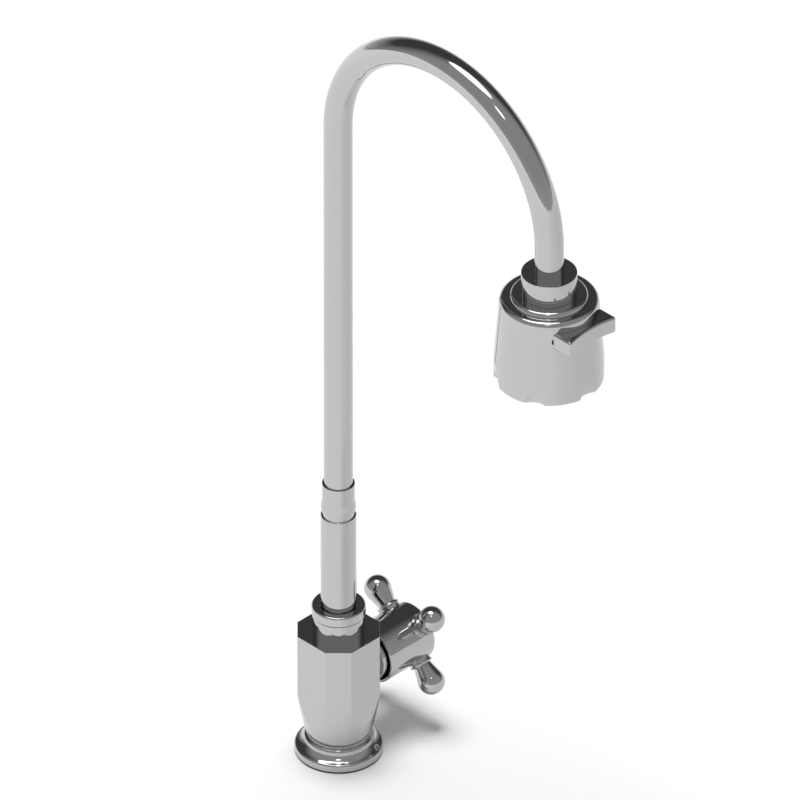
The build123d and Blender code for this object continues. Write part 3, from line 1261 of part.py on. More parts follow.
PARTS = {
    "base_flange": make_base_flange,
    "base_gasket": make_base_gasket,
    "threaded_shank": make_threaded_shank,
    "deck_rubber_washer": make_deck_rubber_washer,
    "deck_steel_washer": make_deck_steel_washer,
    "back_nut": make_back_nut,
    "body": make_body,
    "neck_adapter": make_neck_adapter,
    "neck_nut": make_neck_nut,
    "swivel_washers": make_swivel_washers,
    "spout_sleeve": make_spout_sleeve,
    "spout_o_rings": make_spout_o_rings,
    "spout_collar": make_spout_collar,
    "gooseneck_tube": make_gooseneck_tube,
    "spout_end_fitting": make_spout_end_fitting,
    "connector_nut": make_connector_nut,
    "stem_washer": make_stem_washer,
    "swivel_stem": make_swivel_stem,
    "stem_clip": make_stem_clip,
    "head_housing": make_head_housing,
    "stem_bush": make_stem_bush,
    "head_core": make_head_core,
    "core_o_ring": make_core_o_ring,
    "port_seal": make_port_seal,
    "spray_plate": make_spray_plate,
    "aerator_body": make_aerator_body,
    "aerator_grille": make_aerator_grille,
    "selector_ring": make_selector_ring,
    "selector_lever": make_selector_lever,
    "lever_pins": make_lever_pins,
    "seat_seal": make_seat_seal,
    "fixed_disc": make_fixed_disc,
    "moving_disc": make_moving_disc,
    "cartridge_body": make_cartridge_body,
    "cartridge_o_ring": make_cartridge_o_ring,
    "bonnet_nut": make_bonnet_nut,
    "spindle": make_spindle,
    "spindle_washer": make_spindle_washer,
    "spindle_clip": make_spindle_clip,
    "handle_hub": make_handle_hub,
    "handle_screw": make_handle_screw,
    "index_cap": make_index_cap,
}

for name, make in PARTS.items():
    export_step(make(), f"parts/{name}.step")

for k in range(ARM_COUNT):
    export_step(make_handle_arm(k), f"parts/handle_arm_{k + 1}.step")
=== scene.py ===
# %% [markdown]
# # A chromed kitchen tap
#
# The tap stands on a worktop: an octagonal body on a round foot, a cross
# handle at its side, a tall swan neck and a spray head with a small lever.
# Another program has already worked out the exact solids and how they move,
# so this lesson starts from them and gives them their skin: smooth turned
# shapes where polished metal would show every facet, real threads and jets,
# and the finishes. Each step says what the piece is on the real tap.

# %% Load the solids
import bpy
import bmesh
import json
import math
from mathutils import Matrix, Vector


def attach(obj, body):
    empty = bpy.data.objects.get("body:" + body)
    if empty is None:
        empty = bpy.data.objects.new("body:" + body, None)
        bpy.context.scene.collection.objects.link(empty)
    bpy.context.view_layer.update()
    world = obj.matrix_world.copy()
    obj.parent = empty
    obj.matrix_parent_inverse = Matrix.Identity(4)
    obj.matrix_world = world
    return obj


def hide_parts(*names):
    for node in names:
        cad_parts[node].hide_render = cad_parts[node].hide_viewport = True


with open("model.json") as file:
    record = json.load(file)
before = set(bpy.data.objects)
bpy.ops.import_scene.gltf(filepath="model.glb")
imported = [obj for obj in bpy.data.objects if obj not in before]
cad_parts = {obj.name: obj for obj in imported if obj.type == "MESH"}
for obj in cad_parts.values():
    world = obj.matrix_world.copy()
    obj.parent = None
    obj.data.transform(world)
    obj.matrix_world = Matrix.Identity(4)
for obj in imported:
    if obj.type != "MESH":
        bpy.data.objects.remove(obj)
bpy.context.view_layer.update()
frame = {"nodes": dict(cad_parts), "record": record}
nodes = frame["nodes"]

# %% [markdown]
# ## The camera
#
# The picture was drawn without perspective, from a corner and from above, as
# isometric drawings are. A real camera gets close to that from far away with
# a very long lens. The lens also has to serve the other views, which move
# this same camera, so a true parallel projection is not used.

# %% Place the camera
MM = 0.001
PICTURE_WIDTH = 434.8 * MM
AIM = Vector((0.0, -47.5, 257.4)) * MM
LENS = 1650.0
SENSOR = 36.0

camera_data = bpy.data.cameras.new("camera")
camera_data.lens = LENS
camera_data.sensor_width = SENSOR
camera_data.clip_start = 0.1
camera_data.clip_end = 80.0
camera = bpy.data.objects.new("camera", camera_data)
bpy.context.collection.objects.link(camera)

towards_camera = Vector((-1, -1, 1)).normalized()
distance = PICTURE_WIDTH * LENS / SENSOR
camera.location = AIM + towards_camera * distance
camera.rotation_mode = "QUATERNION"
camera.rotation_quaternion = (-towards_camera).to_track_quat("-Z", "Y")
bpy.context.scene.camera = camera
print("camera stands", round(distance, 2), "m away")

# %% [markdown]
# ## A small language for shader maths
#
# Material nodes are easier to read when they look like ordinary sums. A
# Signal wraps one socket, so `1 - mask * 0.5` adds the Math nodes by itself.
# A Recipe is one material under construction and makes every other node.

# %% Signal and Recipe
class Signal:
    """The output of a shader node, for use in Python expressions."""

    def __init__(self, recipe, socket):
        self.recipe = recipe
        self.socket = socket

    def maths(self, operation, *values):
        return self.recipe.node("ShaderNodeMath", {"operation": operation}, list(values))

    def __add__(self, other):
        return self.maths("ADD", self, other)

    def __sub__(self, other):
        return self.maths("SUBTRACT", self, other)

    def __mul__(self, other):
        return self.maths("MULTIPLY", self, other)

    def __truediv__(self, other):
        return self.maths("DIVIDE", self, other)

    def __radd__(self, other):
        return self.maths("ADD", other, self)

    def __rsub__(self, other):
        return self.maths("SUBTRACT", other, self)

    def __rmul__(self, other):
        return self.maths("MULTIPLY", other, self)

    def __rtruediv__(self, other):
        return self.maths("DIVIDE", other, self)


class Recipe:
    """A node tree of a material, the world or a shape, built call by call."""

    def __init__(self, owner):
        if not isinstance(owner, bpy.types.NodeTree):
            owner.use_nodes = True
            owner = owner.node_tree
        self.tree = owner
        self.tree.nodes.clear()

    def node(self, kind, settings=None, inputs=None, output=0):
        """Make a node, choose its settings, then fill its sockets with values or links."""
        made = self.tree.nodes.new(kind)
        for key, value in (settings or {}).items():
            setattr(made, key, value)
        pairs = enumerate(inputs) if isinstance(inputs, list) else (inputs or {}).items()
        for key, value in pairs:
            socket = made.inputs[key]
            if isinstance(value, Signal):
                self.tree.links.new(value.socket, socket)
            else:
                socket.default_value = value
        return Signal(self, made.outputs[output]) if made.outputs else None

    def outputs(self, kind, inputs=None):
        """All outputs of a node, by name."""
        sockets = self.node(kind, None, inputs).socket.node.outputs
        return {socket.name: Signal(self, socket) for socket in sockets}

    def fade(self, value, start, end, first, last):
        """A value that goes from first to last while another goes from start to end."""
        return self.node("ShaderNodeMapRange", None, {"Value": value, "From Min": start, "From Max": end,
                                                      "To Min": first, "To Max": last})

    def place(self):
        """Where a point lies on the object."""
        return self.node("ShaderNodeTexCoord", output="Object")

    def noise(self, where, scale, detail=2.0):
        return self.node("ShaderNodeTexNoise", None,
                         {"Vector": where, "Scale": scale, "Detail": detail}, "Fac")

    def bump(self, height, strength, distance):
        """Tilted normals for a relief of a given depth."""
        return self.node("ShaderNodeBump", None,
                         {"Height": height, "Strength": strength, "Distance": distance})

    def blend(self, factor, first, second):
        """A colour between two colours."""
        return self.node("ShaderNodeMix", {"data_type": "RGBA"},
                         {0: factor, 6: first, 7: second}, 2)

    def surface(self, **values):
        """Close a material with one shader, whose sockets are given by name."""
        named = {key.replace("_", " ").title(): value for key, value in values.items()}
        shader = self.node("ShaderNodeBsdfPrincipled", None, named)
        self.node("ShaderNodeOutputMaterial", None, {"Surface": shader})
        return shader


def grey(level):
    return (level, level, level, 1.0)


print("maths on sockets is ready")

# %% [markdown]
# ## The floor and the light
#
# Polished chrome has no colour of its own to show: it shows the room. On this
# tap every upright wall mirrors the floor, and every level surface mirrors
# the ceiling. So the room is designed first: a white floor with painted shade
# that only reflections show, greyer on the right, a ceiling that is grey behind
# the camera and dark beyond the tap, a pale horizon far beyond, and lamps for
# the glints.
#
# A floor lit by lamps alone turns grey far away from them. So it glows by
# itself where their light has fallen off, and only for the camera and in
# reflections: it lights the tap no more than a plain pale floor would, and
# near the tap, where it hardly glows, it keeps the shadow.

# %% Floor
FLOOR_RADIUS = 7.0
FLOOR_WHITE = 0.88
MIRRORED_SHADE_MIDDLE, MIRRORED_SHADE_RIGHT = 0.87, 0.69
GLOW_NEAR, GLOW_GAIN = 0.14, 0.84
MIRRORED_GLOW_NEAR, MIRRORED_GLOW_GAIN = 0.1, 0.95
LAMP_SPREAD = 18.0
NOT_ZERO = 0.02

floor_mesh = bmesh.new()
bmesh.ops.create_circle(floor_mesh, cap_ends=True, segments=96, radius=FLOOR_RADIUS)
floor_data = bpy.data.meshes.new("floor")
floor_mesh.to_mesh(floor_data)
floor_mesh.free()
floor = bpy.data.objects.new("floor", floor_data)
bpy.context.collection.objects.link(floor)

floor_paint = bpy.data.materials.new("white_floor")
paint = Recipe(floor_paint)
rays = paint.outputs("ShaderNodeLightPath")
seen = rays["Is Camera Ray"]
mirrored = rays["Is Glossy Ray"] + rays["Is Transmission Ray"]
floor_point = paint.place()
floor_place = paint.outputs("ShaderNodeSeparateXYZ", [floor_point])
away = paint.node("ShaderNodeVectorMath", {"operation": "LENGTH"}, [floor_point], "Value")
rightwards = (floor_place["X"] - floor_place["Y"]) / (away + NOT_ZERO)
# Painted shade: in reflections the floor turns greyer towards the right, in its colour and in its glow, so
# the tap's walls facing right mirror it darker.
side = paint.fade(rightwards, 0.2, 1.4, MIRRORED_SHADE_MIDDLE, MIRRORED_SHADE_RIGHT)
white = mirrored * side + (1.0 - mirrored) * FLOOR_WHITE
pale = paint.node("ShaderNodeCombineColor", None, [white, white, white])
matt = paint.node("ShaderNodeBsdfDiffuse", None, {"Color": pale})
lamp_light = LAMP_SPREAD / (away * away + LAMP_SPREAD)
fallen = 1.0 - lamp_light * lamp_light
seen_glow = fallen * GLOW_GAIN + GLOW_NEAR
mirrored_glow = side * fallen * MIRRORED_GLOW_GAIN + MIRRORED_GLOW_NEAR
strength = seen * seen_glow + mirrored * mirrored_glow
glow = paint.node("ShaderNodeEmission", None, {"Color": grey(1.0), "Strength": strength})
both = paint.node("ShaderNodeAddShader", None, [matt, glow])
paint.node("ShaderNodeOutputMaterial", None, {"Surface": both})
floor_data.materials.append(floor_paint)
print("floor is", 2 * FLOOR_RADIUS, "m across")

# %% World
CEILING_BEYOND, CEILING_BEHIND = 0.065, 0.37
HORIZON_NEAR, HORIZON_FAR = 0.06, 0.5
HORIZON_TOP = 0.3
PLAIN_LIGHT = 0.11

world = bpy.data.worlds.new("studio")
bpy.context.scene.world = world
room = Recipe(world)
direction = room.node("ShaderNodeTexCoord", output="Generated")
towards = room.outputs("ShaderNodeSeparateXYZ", [direction])
from_camera = towards["X"] + towards["Y"]
above = room.fade(from_camera, 0.62, 0.0, CEILING_BEYOND, CEILING_BEHIND)
low_band = room.fade(from_camera, 0.3, 1.0, HORIZON_NEAR, HORIZON_FAR)
horizon = room.fade(towards["Z"], 0.0, HORIZON_TOP, 1.0, 0.0)
level = above + horizon * low_band
ceiling = room.node("ShaderNodeCombineColor", None, [level, level, level])
room_rays = room.outputs("ShaderNodeLightPath")
plain = room.blend(room_rays["Is Glossy Ray"], grey(PLAIN_LIGHT), ceiling)
colour = room.blend(room_rays["Is Camera Ray"], plain, grey(1.0))
sky = room.node("ShaderNodeBackground", None, {"Color": colour, "Strength": 1.0})
room.node("ShaderNodeOutputWorld", None, {"Surface": sky})
print("ceiling goes from", CEILING_BEHIND, "behind the camera to", CEILING_BEYOND, "beyond the tap")


# %% Lamps
LAMP_DISTANCE = 4.0
LAMP_AIM = Vector((0.0, -0.05, 0.25))


def soft_lamp(name, direction, size, power):
    """Round soft lamp that hangs in a direction and shines at the tap."""
    lamp_data = bpy.data.lights.new(name, "AREA")
    lamp_data.shape = "ELLIPSE"
    lamp_data.size, lamp_data.size_y = size
    lamp_data.energy = power
    lamp = bpy.data.objects.new(name, lamp_data)
    bpy.context.collection.objects.link(lamp)
    towards = Vector(direction).normalized()
    lamp.location = LAMP_AIM + towards * LAMP_DISTANCE
    lamp.rotation_mode = "QUATERNION"
    lamp.rotation_quaternion = towards.to_track_quat("Z", "Y")
    lamp.visible_camera = False
    return lamp


key = soft_lamp("key_lamp", (0.03, 0.12, 1.0), (1.8, 1.8), 128.0)
key.visible_glossy = False
soft_lamp("glint_lamp", (-0.05, 0.12, 1.0), (2.1, 2.7), 36.0)
soft_lamp("front_lamp", (-0.36, -0.33, 0.87), (0.7, 0.7), 3.0)
print("the key lamp shines without being mirrored, and two weak ones make the glints")

# %% [markdown]
# ## The finishes
#
# Chrome plating is a perfect mirror with a grey tint, but real plating has
# faint ripples from polishing and slight haze where water has dried. Both
# are kept very weak, because the eye reads them in the reflections.

# %% Metals
def make_chrome():
    material = bpy.data.materials.new("chrome_plating")
    r = Recipe(material)
    place = r.place()
    haze = r.noise(place, 55.0, 3.0)
    ripple = r.noise(place, 240.0, 1.0)
    tint = r.blend(haze, (0.54, 0.545, 0.55, 1.0), (0.56, 0.565, 0.57, 1.0))
    r.surface(base_color=tint, metallic=1.0, roughness=0.045 + haze * 0.05,
              normal=r.bump(ripple, 0.02, 0.0004))
    return material


def make_brass():
    material = bpy.data.materials.new("turned_brass")
    r = Recipe(material)
    place = r.place()
    stain = r.noise(place, 90.0, 4.0)
    streak = r.noise(place, 900.0, 2.0)
    tint = r.blend(stain, (0.62, 0.46, 0.2, 1.0), (0.74, 0.58, 0.3, 1.0))
    r.surface(base_color=tint, metallic=1.0, roughness=0.22 + streak * 0.18,
              normal=r.bump(streak, 0.12, 0.0002))
    return material


def make_steel():
    material = bpy.data.materials.new("pressed_steel")
    r = Recipe(material)
    place = r.place()
    grain = r.noise(place, 700.0, 3.0)
    tint = r.blend(grain, (0.5, 0.5, 0.51, 1.0), (0.62, 0.62, 0.63, 1.0))
    r.surface(base_color=tint, metallic=1.0, roughness=0.25 + grain * 0.2,
              normal=r.bump(grain, 0.1, 0.0002))
    return material


chrome = make_chrome()
brass = make_brass()
steel = make_steel()
print("metals:", chrome.name, brass.name, steel.name)


# %% Rubber, plastics and ceramic
def make_dull(name, dark, light, roughness, scale, depth):
    material = bpy.data.materials.new(name)
    r = Recipe(material)
    place = r.place()
    cloud = r.noise(place, scale, 4.0)
    grain = r.noise(place, scale * 12, 2.0)
    r.surface(base_color=r.blend(cloud, dark, light), roughness=roughness + cloud * 0.12,
              normal=r.bump(grain, 0.25, depth))
    return material


rubber = make_dull("black_rubber", grey(0.018), grey(0.045), 0.62, 60.0, 0.0002)
white_plastic = make_dull("white_acetal", grey(0.66), (0.76, 0.76, 0.74, 1.0), 0.35, 40.0, 0.0001)
grey_plastic = make_dull("grey_jet_plastic", grey(0.22), grey(0.3), 0.32, 45.0, 0.0001)
ceramic = make_dull("lapped_ceramic", (0.78, 0.77, 0.74, 1.0), (0.86, 0.85, 0.82, 1.0),
                    0.12, 80.0, 0.00002)
FINISHES = {
    "chrome": chrome,
    "brass": brass,
    "steel": steel,
    "rubber": rubber,
    "white_plastic": white_plastic,
    "grey_plastic": grey_plastic,
    "ceramic": ceramic,
}

slots = {part["node"]: part["material_slot"] for part in frame["record"]["subparts"]}
for name, thing in nodes.items():
    thing.data.materials.clear()
    thing.data.materials.append(FINISHES[slots[name]])
print("finished", len(nodes), "solids with", len(FINISHES), "finishes")

# %% [markdown]
# ## Turned shapes
#
# Most of the tap comes off a lathe: foot, neck, nuts, sleeve, handle cup and
# arms. Each is one closed outline of (radius, height) points spun round an
# axis. Polished metal shows the smallest flaw in its reflections, so every
# face corner gets the true normal of the outline instead of an average. Long
# sides keep their own direction and the short steps of a rounding take the
# turn. Real edges are never quite sharp, so corners get a rounding as third
# number, and the thin glint along an edge comes from there.

# %% Outlines
TURN_STEPS = 160
SHARP = math.radians(35)
MUCH_LONGER = 4


def rounded(corners, steps=3):
    """Closed outline from corners of (radius, height[, rounding])."""
    points = []
    for k, corner in enumerate(corners):
        here = Vector(corner[:2])
        if len(corner) < 3:
            points.append(here)
            continue
        before = (Vector(corners[k - 1][:2]) - here).normalized()
        after = (Vector(corners[(k + 1) % len(corners)][:2]) - here).normalized()
        half = before.angle(after) / 2
        centre = here + (before + after).normalized() * corner[2] / math.sin(half)
        first = here + before * corner[2] / math.tan(half)
        turn = (first - centre).angle_signed(here + after * corner[2] / math.tan(half) - centre)
        for step in range(steps + 1):
            points.append(centre + Matrix.Rotation(-turn * step / steps, 2) @ (first - centre))
    return points


def bow(start, middle, end, steps):
    """Points on the arc through three points, without its two ends."""
    (ax, ay), (bx, by), (cx, cy) = start, middle, end
    d = 2 * (ax * (by - cy) + bx * (cy - ay) + cx * (ay - by))
    a2, b2, c2 = ax * ax + ay * ay, bx * bx + by * by, cx * cx + cy * cy
    centre = Vector(((a2 * (by - cy) + b2 * (cy - ay) + c2 * (ay - by)) / d,
                     (a2 * (cx - bx) + b2 * (ax - cx) + c2 * (bx - ax)) / d))
    first = Vector(start) - centre
    to_middle = first.angle_signed(Vector(middle) - centre)
    turn = to_middle + (Vector(middle) - centre).angle_signed(Vector(end) - centre)
    return [tuple(centre + Matrix.Rotation(-turn * k / steps, 2) @ first) for k in range(1, steps)]


def end_normals(points, closed=True):
    """Outward normals at both ends of every side of an outline."""
    sides = list(zip(points, points[1:] + points[:1])) if closed else list(zip(points, points[1:]))
    flats = [Vector((b[1] - a[1], a[0] - b[0])) for a, b in sides]

    def meet(k, other):
        mine = flats[k].normalized()
        if not closed and not 0 <= other < len(flats):
            return mine
        its = flats[other % len(flats)]
        if mine.angle(its) > SHARP or flats[k].length > MUCH_LONGER * its.length:
            return mine
        if its.length > MUCH_LONGER * flats[k].length:
            return its.normalized()
        return (mine + its.normalized()).normalized()

    return [(meet(k, k - 1), meet(k, k + 1)) for k in range(len(flats))]


print("a quarter circle in", len(bow((1, 0), (0.7071, 0.7071), (0, 1), 8)), "inner points")


# %% From outline to skin
ON_AXIS = 1e-6


def skin(name, bands, place=Matrix(), plates=()):
    """Object from bands of (points, normals, points, normals) and flat plates."""
    index, corners, normals, faces = {}, [], [], []

    def vertex(point):
        key = tuple(round(v, 5) for v in point)
        if key not in index:
            index[key] = len(corners)
            corners.append(place @ (Vector(point) * MM))
        return index[key]

    turn = place.to_3x3()
    for low, low_normals, high, high_normals in bands:
        ids = [vertex(p) for p in low], [vertex(p) for p in high]
        count = len(low)
        for k in range(count):
            m = (k + 1) % count
            loop = [(ids[0][k], low_normals[k]), (ids[0][m], low_normals[m]),
                    (ids[1][m], high_normals[m]), (ids[1][k], high_normals[k])]
            unique = []
            for item in loop:
                if item[0] not in [u[0] for u in unique]:
                    unique.append(item)
            if len(unique) > 2:
                faces.append([u[0] for u in unique])
                normals.extend(turn @ Vector(u[1]) for u in unique)
    for points, normal in plates:
        ring = list(dict.fromkeys(vertex(p) for p in points))
        faces.append(ring)
        normals.extend([turn @ Vector(normal)] * len(ring))
    mesh = bpy.data.meshes.new(name)
    mesh.from_pydata(corners, [], faces)
    mesh.polygons.foreach_set("use_smooth", [True] * len(faces))
    mesh.normals_split_custom_set(normals)
    thing = bpy.data.objects.new(name, mesh)
    bpy.context.collection.objects.link(thing)
    return thing


def turned(name, outline, place=Matrix(), steps=TURN_STEPS):
    """Spin a closed outline, inside on its left, about Z."""
    points = [tuple(p) for p in outline]
    ring = [(math.cos(a), math.sin(a)) for a in (2 * math.pi * k / steps for k in range(steps))]

    def lift(point):
        return [(point[0] * c, point[0] * s, point[1]) for c, s in ring]

    def around(normal, point):
        if point[0] < ON_AXIS:
            return [(0, 0, math.copysign(1, normal[1]))] * steps
        return [(normal[0] * c, normal[0] * s, normal[1]) for c, s in ring]

    bands = []
    for k, (first, last) in enumerate(end_normals(points)):
        a, b = points[k], points[(k + 1) % len(points)]
        if a[0] > ON_AXIS or b[0] > ON_AXIS:
            bands.append((lift(a), around(first, a), lift(b), around(last, b)))
    return skin(name, bands, place)


def dress(piece, body, finish, *replaced):
    """Give a piece its finish, its body and the solids it stands for."""
    if not piece.data.materials:
        piece.data.materials.append(FINISHES[finish])
    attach(piece, body)
    if replaced:
        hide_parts(*replaced)
    print(piece.name, len(piece.data.polygons), "faces")


EDGE = 0.2
print("corners are rounded by", EDGE, "mm where nothing else is said")

# %% [markdown]
# ## The foot and the neck
#
# The foot is a dished disc with a bead round its top, on which the body
# stands. Above the body a plain socket takes the spout's root, and a low nut
# with a soft top edge closes it. Both were turned from the bar.

# %% Foot
SHANK_HOLE = 10.78
GASKET_RADIUS, GASKET_STEP = 20.5, 1.0
FOOT_RADIUS = 24.4
RIM_TOP, RIM_SHOULDER = (FOOT_RADIUS, 3.7), (23.399, 5.183)
DISH_END, BEAD_SIDE, BEAD_TOP = (19.4, 8.1), (19.4, 9.5), (17.4, 11.5)
foot = turned("foot_flange", rounded([
    (SHANK_HOLE, 0), (GASKET_RADIUS, 0), (GASKET_RADIUS, GASKET_STEP),
    (FOOT_RADIUS, GASKET_STEP, 0.1), RIM_TOP]
    + bow(RIM_TOP, (24.126, 4.595), RIM_SHOULDER, 8)
    + [RIM_SHOULDER]
    + bow(RIM_SHOULDER, (21.2, 6.35), DISH_END, 14)
    + [DISH_END, BEAD_SIDE]
    + bow(BEAD_SIDE, (18.814, 10.914), BEAD_TOP, 8)
    + [BEAD_TOP, (SHANK_HOLE, BEAD_TOP[1])]))
dress(foot, "fixed", "chrome", "base_flange")

# %% Socket and nut
BODY_TOP = 80.0
SPOUT_HOLE, SPIGOT_RADIUS, SPIGOT_FOOT = 9.9, 12.0, 68
SOCKET_RADIUS, SOCKET_TOP = 14.4, 91.2
THREAD_RADIUS, THREAD_TOP = 12.6, 95.0
GLAND_RADIUS, GLAND_FOOT = 11.6, 89.0
socket = turned("neck_socket", rounded([
    (SPOUT_HOLE, SPIGOT_FOOT), (SPIGOT_RADIUS, SPIGOT_FOOT), (SPIGOT_RADIUS, BODY_TOP),
    (SOCKET_RADIUS, BODY_TOP), (SOCKET_RADIUS, SOCKET_TOP, EDGE), (THREAD_RADIUS, SOCKET_TOP),
    (THREAD_RADIUS, THREAD_TOP), (GLAND_RADIUS, THREAD_TOP), (GLAND_RADIUS, GLAND_FOOT),
    (SPOUT_HOLE, GLAND_FOOT)]))
dress(socket, "fixed", "chrome", "neck_adapter")

NUT_RADIUS, NUT_FOOT, NUT_TOP, NUT_ROUNDING = 14.9, 91.8, 97.5, 1.3
NUT_HOLE, NUT_LIP_RADIUS, NUT_LIP_FOOT = 10.4, 11.3, 93.4
NUT_THREAD_RADIUS, NUT_THREAD_TOP = 12.65, 95.5
neck_nut = turned("neck_nut_cap", rounded([
    (NUT_THREAD_RADIUS, NUT_FOOT), (NUT_RADIUS, NUT_FOOT, EDGE), (NUT_RADIUS, NUT_TOP, NUT_ROUNDING),
    (NUT_HOLE, NUT_TOP, EDGE), (NUT_HOLE, NUT_LIP_FOOT), (NUT_LIP_RADIUS, NUT_LIP_FOOT),
    (NUT_LIP_RADIUS, NUT_THREAD_TOP), (NUT_THREAD_RADIUS, NUT_THREAD_TOP)], 6))
dress(neck_nut, "fixed", "chrome", "neck_nut")

# %% [markdown]
# ## The octagonal body
#
# A bar with eight flats, four wide and four narrow, whose lower end was
# turned on the lathe into a waist. The rule is simple: in plan every point
# lies on the octagon, unless the waist at that height is slimmer. Each
# column of the skin finds the height where the two meet, so the curved edges
# between flats and waist come out crisp. The octagon's own edges get a tiny
# rounding in plan, as a buffed edge has.

# %% Plan of the body
FLAT, HALF_FLAT, PLAN_ROUNDING = 20.9, 11.0, 0.25
FLAT_STEPS = 14
quarter = [(FLAT, -HALF_FLAT), (FLAT, HALF_FLAT), (HALF_FLAT, FLAT), (-HALF_FLAT, FLAT)]
octagon = quarter + [(-x, -y) for x, y in quarter]
plan_corners = rounded([(x, y, PLAN_ROUNDING) for x, y in octagon])
plan, plan_normals = [], []
for (start, end), (a, b) in zip(end_normals(plan_corners),
                                zip(plan_corners, plan_corners[1:] + plan_corners[:1])):
    pieces = FLAT_STEPS if (b - a).length > HALF_FLAT / 2 else 1
    for k in range(pieces):
        plan.append(a.lerp(b, k / pieces))
        plan_normals.append(start.lerp(end, k / pieces).normalized())

print("the plan has", len(plan), "columns")

# %% Waist of the body
BODY_FOOT, BODY_BORE = 11.5, 11
FOOT_EDGE = 0.7
WAIST_FOOT, WAIST_MIDDLE, WAIST_TOP = (17.9, BODY_FOOT + FOOT_EDGE), (21.4, 28.3), (24.02, 44.0)
WAIST = [WAIST_FOOT] + bow(WAIST_FOOT, WAIST_MIDDLE, WAIST_TOP, 40) + [WAIST_TOP]


def waist_height(radius):
    """Height at which the waist reaches a radius."""
    for (r0, z0), (r1, z1) in zip(WAIST, WAIST[1:]):
        if radius <= r1:
            return z0 + (z1 - z0) * (radius - r0) / (r1 - r0)
    return WAIST[-1][1]


def waist_radius(height):
    """Radius of the waist at a height, with its normal there."""
    for (r0, z0), (r1, z1) in zip(WAIST, WAIST[1:]):
        if height <= z1:
            return r0 + (r1 - r0) * (height - z0) / (z1 - z0), (z1 - z0, r0 - r1)


def waist_row(share):
    """Points and normals at a share of the way up to where the flats begin."""
    points, normals = [], []
    for p in plan:
        z = WAIST_FOOT[1] + share * (waist_height(p.length) - WAIST_FOOT[1])
        r, slope = waist_radius(z)
        out = p.normalized()
        n = Vector((out.x * slope[0], out.y * slope[0], slope[1])).normalized()
        points.append((out.x * r, out.y * r, z))
        normals.append(n)
    return points, normals


def ring_row(radius, height, normal):
    """Points and normals on a plain circle, one for each column."""
    out = [p.normalized() for p in plan]
    return ([(o.x * radius, o.y * radius, height) for o in out],
            [(o.x * normal[0], o.y * normal[0], normal[1]) for o in out])


print("the waist meets the corners at", round(waist_height(max(p.length for p in plan)), 1), "mm")

# %% Skin of the body
FOOT_STEPS, WAIST_STEPS, TOP_STEPS = 6, 24, 3
bands = [ring_row(BODY_BORE, BODY_FOOT, (0, -1))
         + ring_row(WAIST_FOOT[0] - FOOT_EDGE, BODY_FOOT, (0, -1))]
for k in range(FOOT_STEPS):
    rows = []
    for a in (math.pi / 2 * k / FOOT_STEPS, math.pi / 2 * (k + 1) / FOOT_STEPS):
        rows += ring_row(WAIST_FOOT[0] - FOOT_EDGE * (1 - math.sin(a)),
                         WAIST_FOOT[1] - FOOT_EDGE * math.cos(a), (math.sin(a), -math.cos(a)))
    bands.append(tuple(rows))
for k in range(WAIST_STEPS):
    bands.append(waist_row(k / WAIST_STEPS) + waist_row((k + 1) / WAIST_STEPS))
sides = [(n.x, n.y, 0) for n in plan_normals]
bands.append(([(p.x, p.y, waist_height(p.length)) for p in plan], sides,
              [(p.x, p.y, BODY_TOP - EDGE) for p in plan], sides))
for k in range(TOP_STEPS):
    rows = []
    for a in (math.pi / 2 * k / TOP_STEPS, math.pi / 2 * (k + 1) / TOP_STEPS):
        inset, rise = EDGE * (1 - math.cos(a)), EDGE * math.sin(a)
        rows.append([(p.x - n.x * inset, p.y - n.y * inset, BODY_TOP - EDGE + rise)
                     for p, n in zip(plan, plan_normals)])
        rows.append([(n.x * math.cos(a), n.y * math.cos(a), math.sin(a)) for n in plan_normals])
    bands.append(tuple(rows))
up = [(0, 0, 1)] * len(plan)
bands.append((rows[2], up, ring_row(BODY_BORE, BODY_TOP, (0, 1))[0], up))
bands.append(ring_row(BODY_BORE, BODY_TOP, (-1, 0)) + ring_row(BODY_BORE, BODY_FOOT, (-1, 0)))
body = skin("octagon_body", bands)
dress(body, "fixed", "chrome", "body")

# %% [markdown]
# ## The root of the spout
#
# The spout stands in a thick sleeve, and above it a thinner collar with one
# soft bead hides the joint with the tube.

# %% Sleeve and collar
TUBE_HOLE = 8.05
SLEEVE_RADIUS, SLEEVE_FOOT, SLEEVE_TOP, SLEEVE_ROUNDING = 9.83, 70, 158, 0.75
FLANGE_RADIUS, FLANGE_FOOT, FLANGE_TOP = 11.3, 90.0, 92.4
sleeve = turned("spout_root", rounded([
    (TUBE_HOLE, SLEEVE_FOOT), (SLEEVE_RADIUS, SLEEVE_FOOT), (SLEEVE_RADIUS, FLANGE_FOOT),
    (FLANGE_RADIUS, FLANGE_FOOT), (FLANGE_RADIUS, FLANGE_TOP), (SLEEVE_RADIUS, FLANGE_TOP),
    (SLEEVE_RADIUS, SLEEVE_TOP, SLEEVE_ROUNDING), (TUBE_HOLE, SLEEVE_TOP)], 5))
dress(sleeve, "spout", "chrome", "spout_sleeve", "spout_o_rings")

COLLAR_RADIUS, COLLAR_TOP = 9.02, 178.7
RING_FOOT, RING_MIDDLE, RING_TOP = (COLLAR_RADIUS, 159.9), (9.65, 163.55), (COLLAR_RADIUS, 167.2)
collar = turned("spout_collar_bead", rounded([
    (TUBE_HOLE, SLEEVE_TOP), (COLLAR_RADIUS, SLEEVE_TOP), RING_FOOT]
    + bow(RING_FOOT, RING_MIDDLE, RING_TOP, 12)
    + [RING_TOP, (COLLAR_RADIUS, COLLAR_TOP, EDGE), (TUBE_HOLE, COLLAR_TOP)]))
dress(collar, "spout", "chrome", "spout_collar")

# %% [markdown]
# ## The swan neck
#
# One length of tube, straight up, bent over a half circle and straight down
# again. Its centre line follows a rule: the distance along the tube tells
# how far round the bend a point is. So a Geometry Nodes tree lays out the
# line from a few named sizes and sweeps a circle along it. The bender leaves
# the section round, and the plating hides the weld.


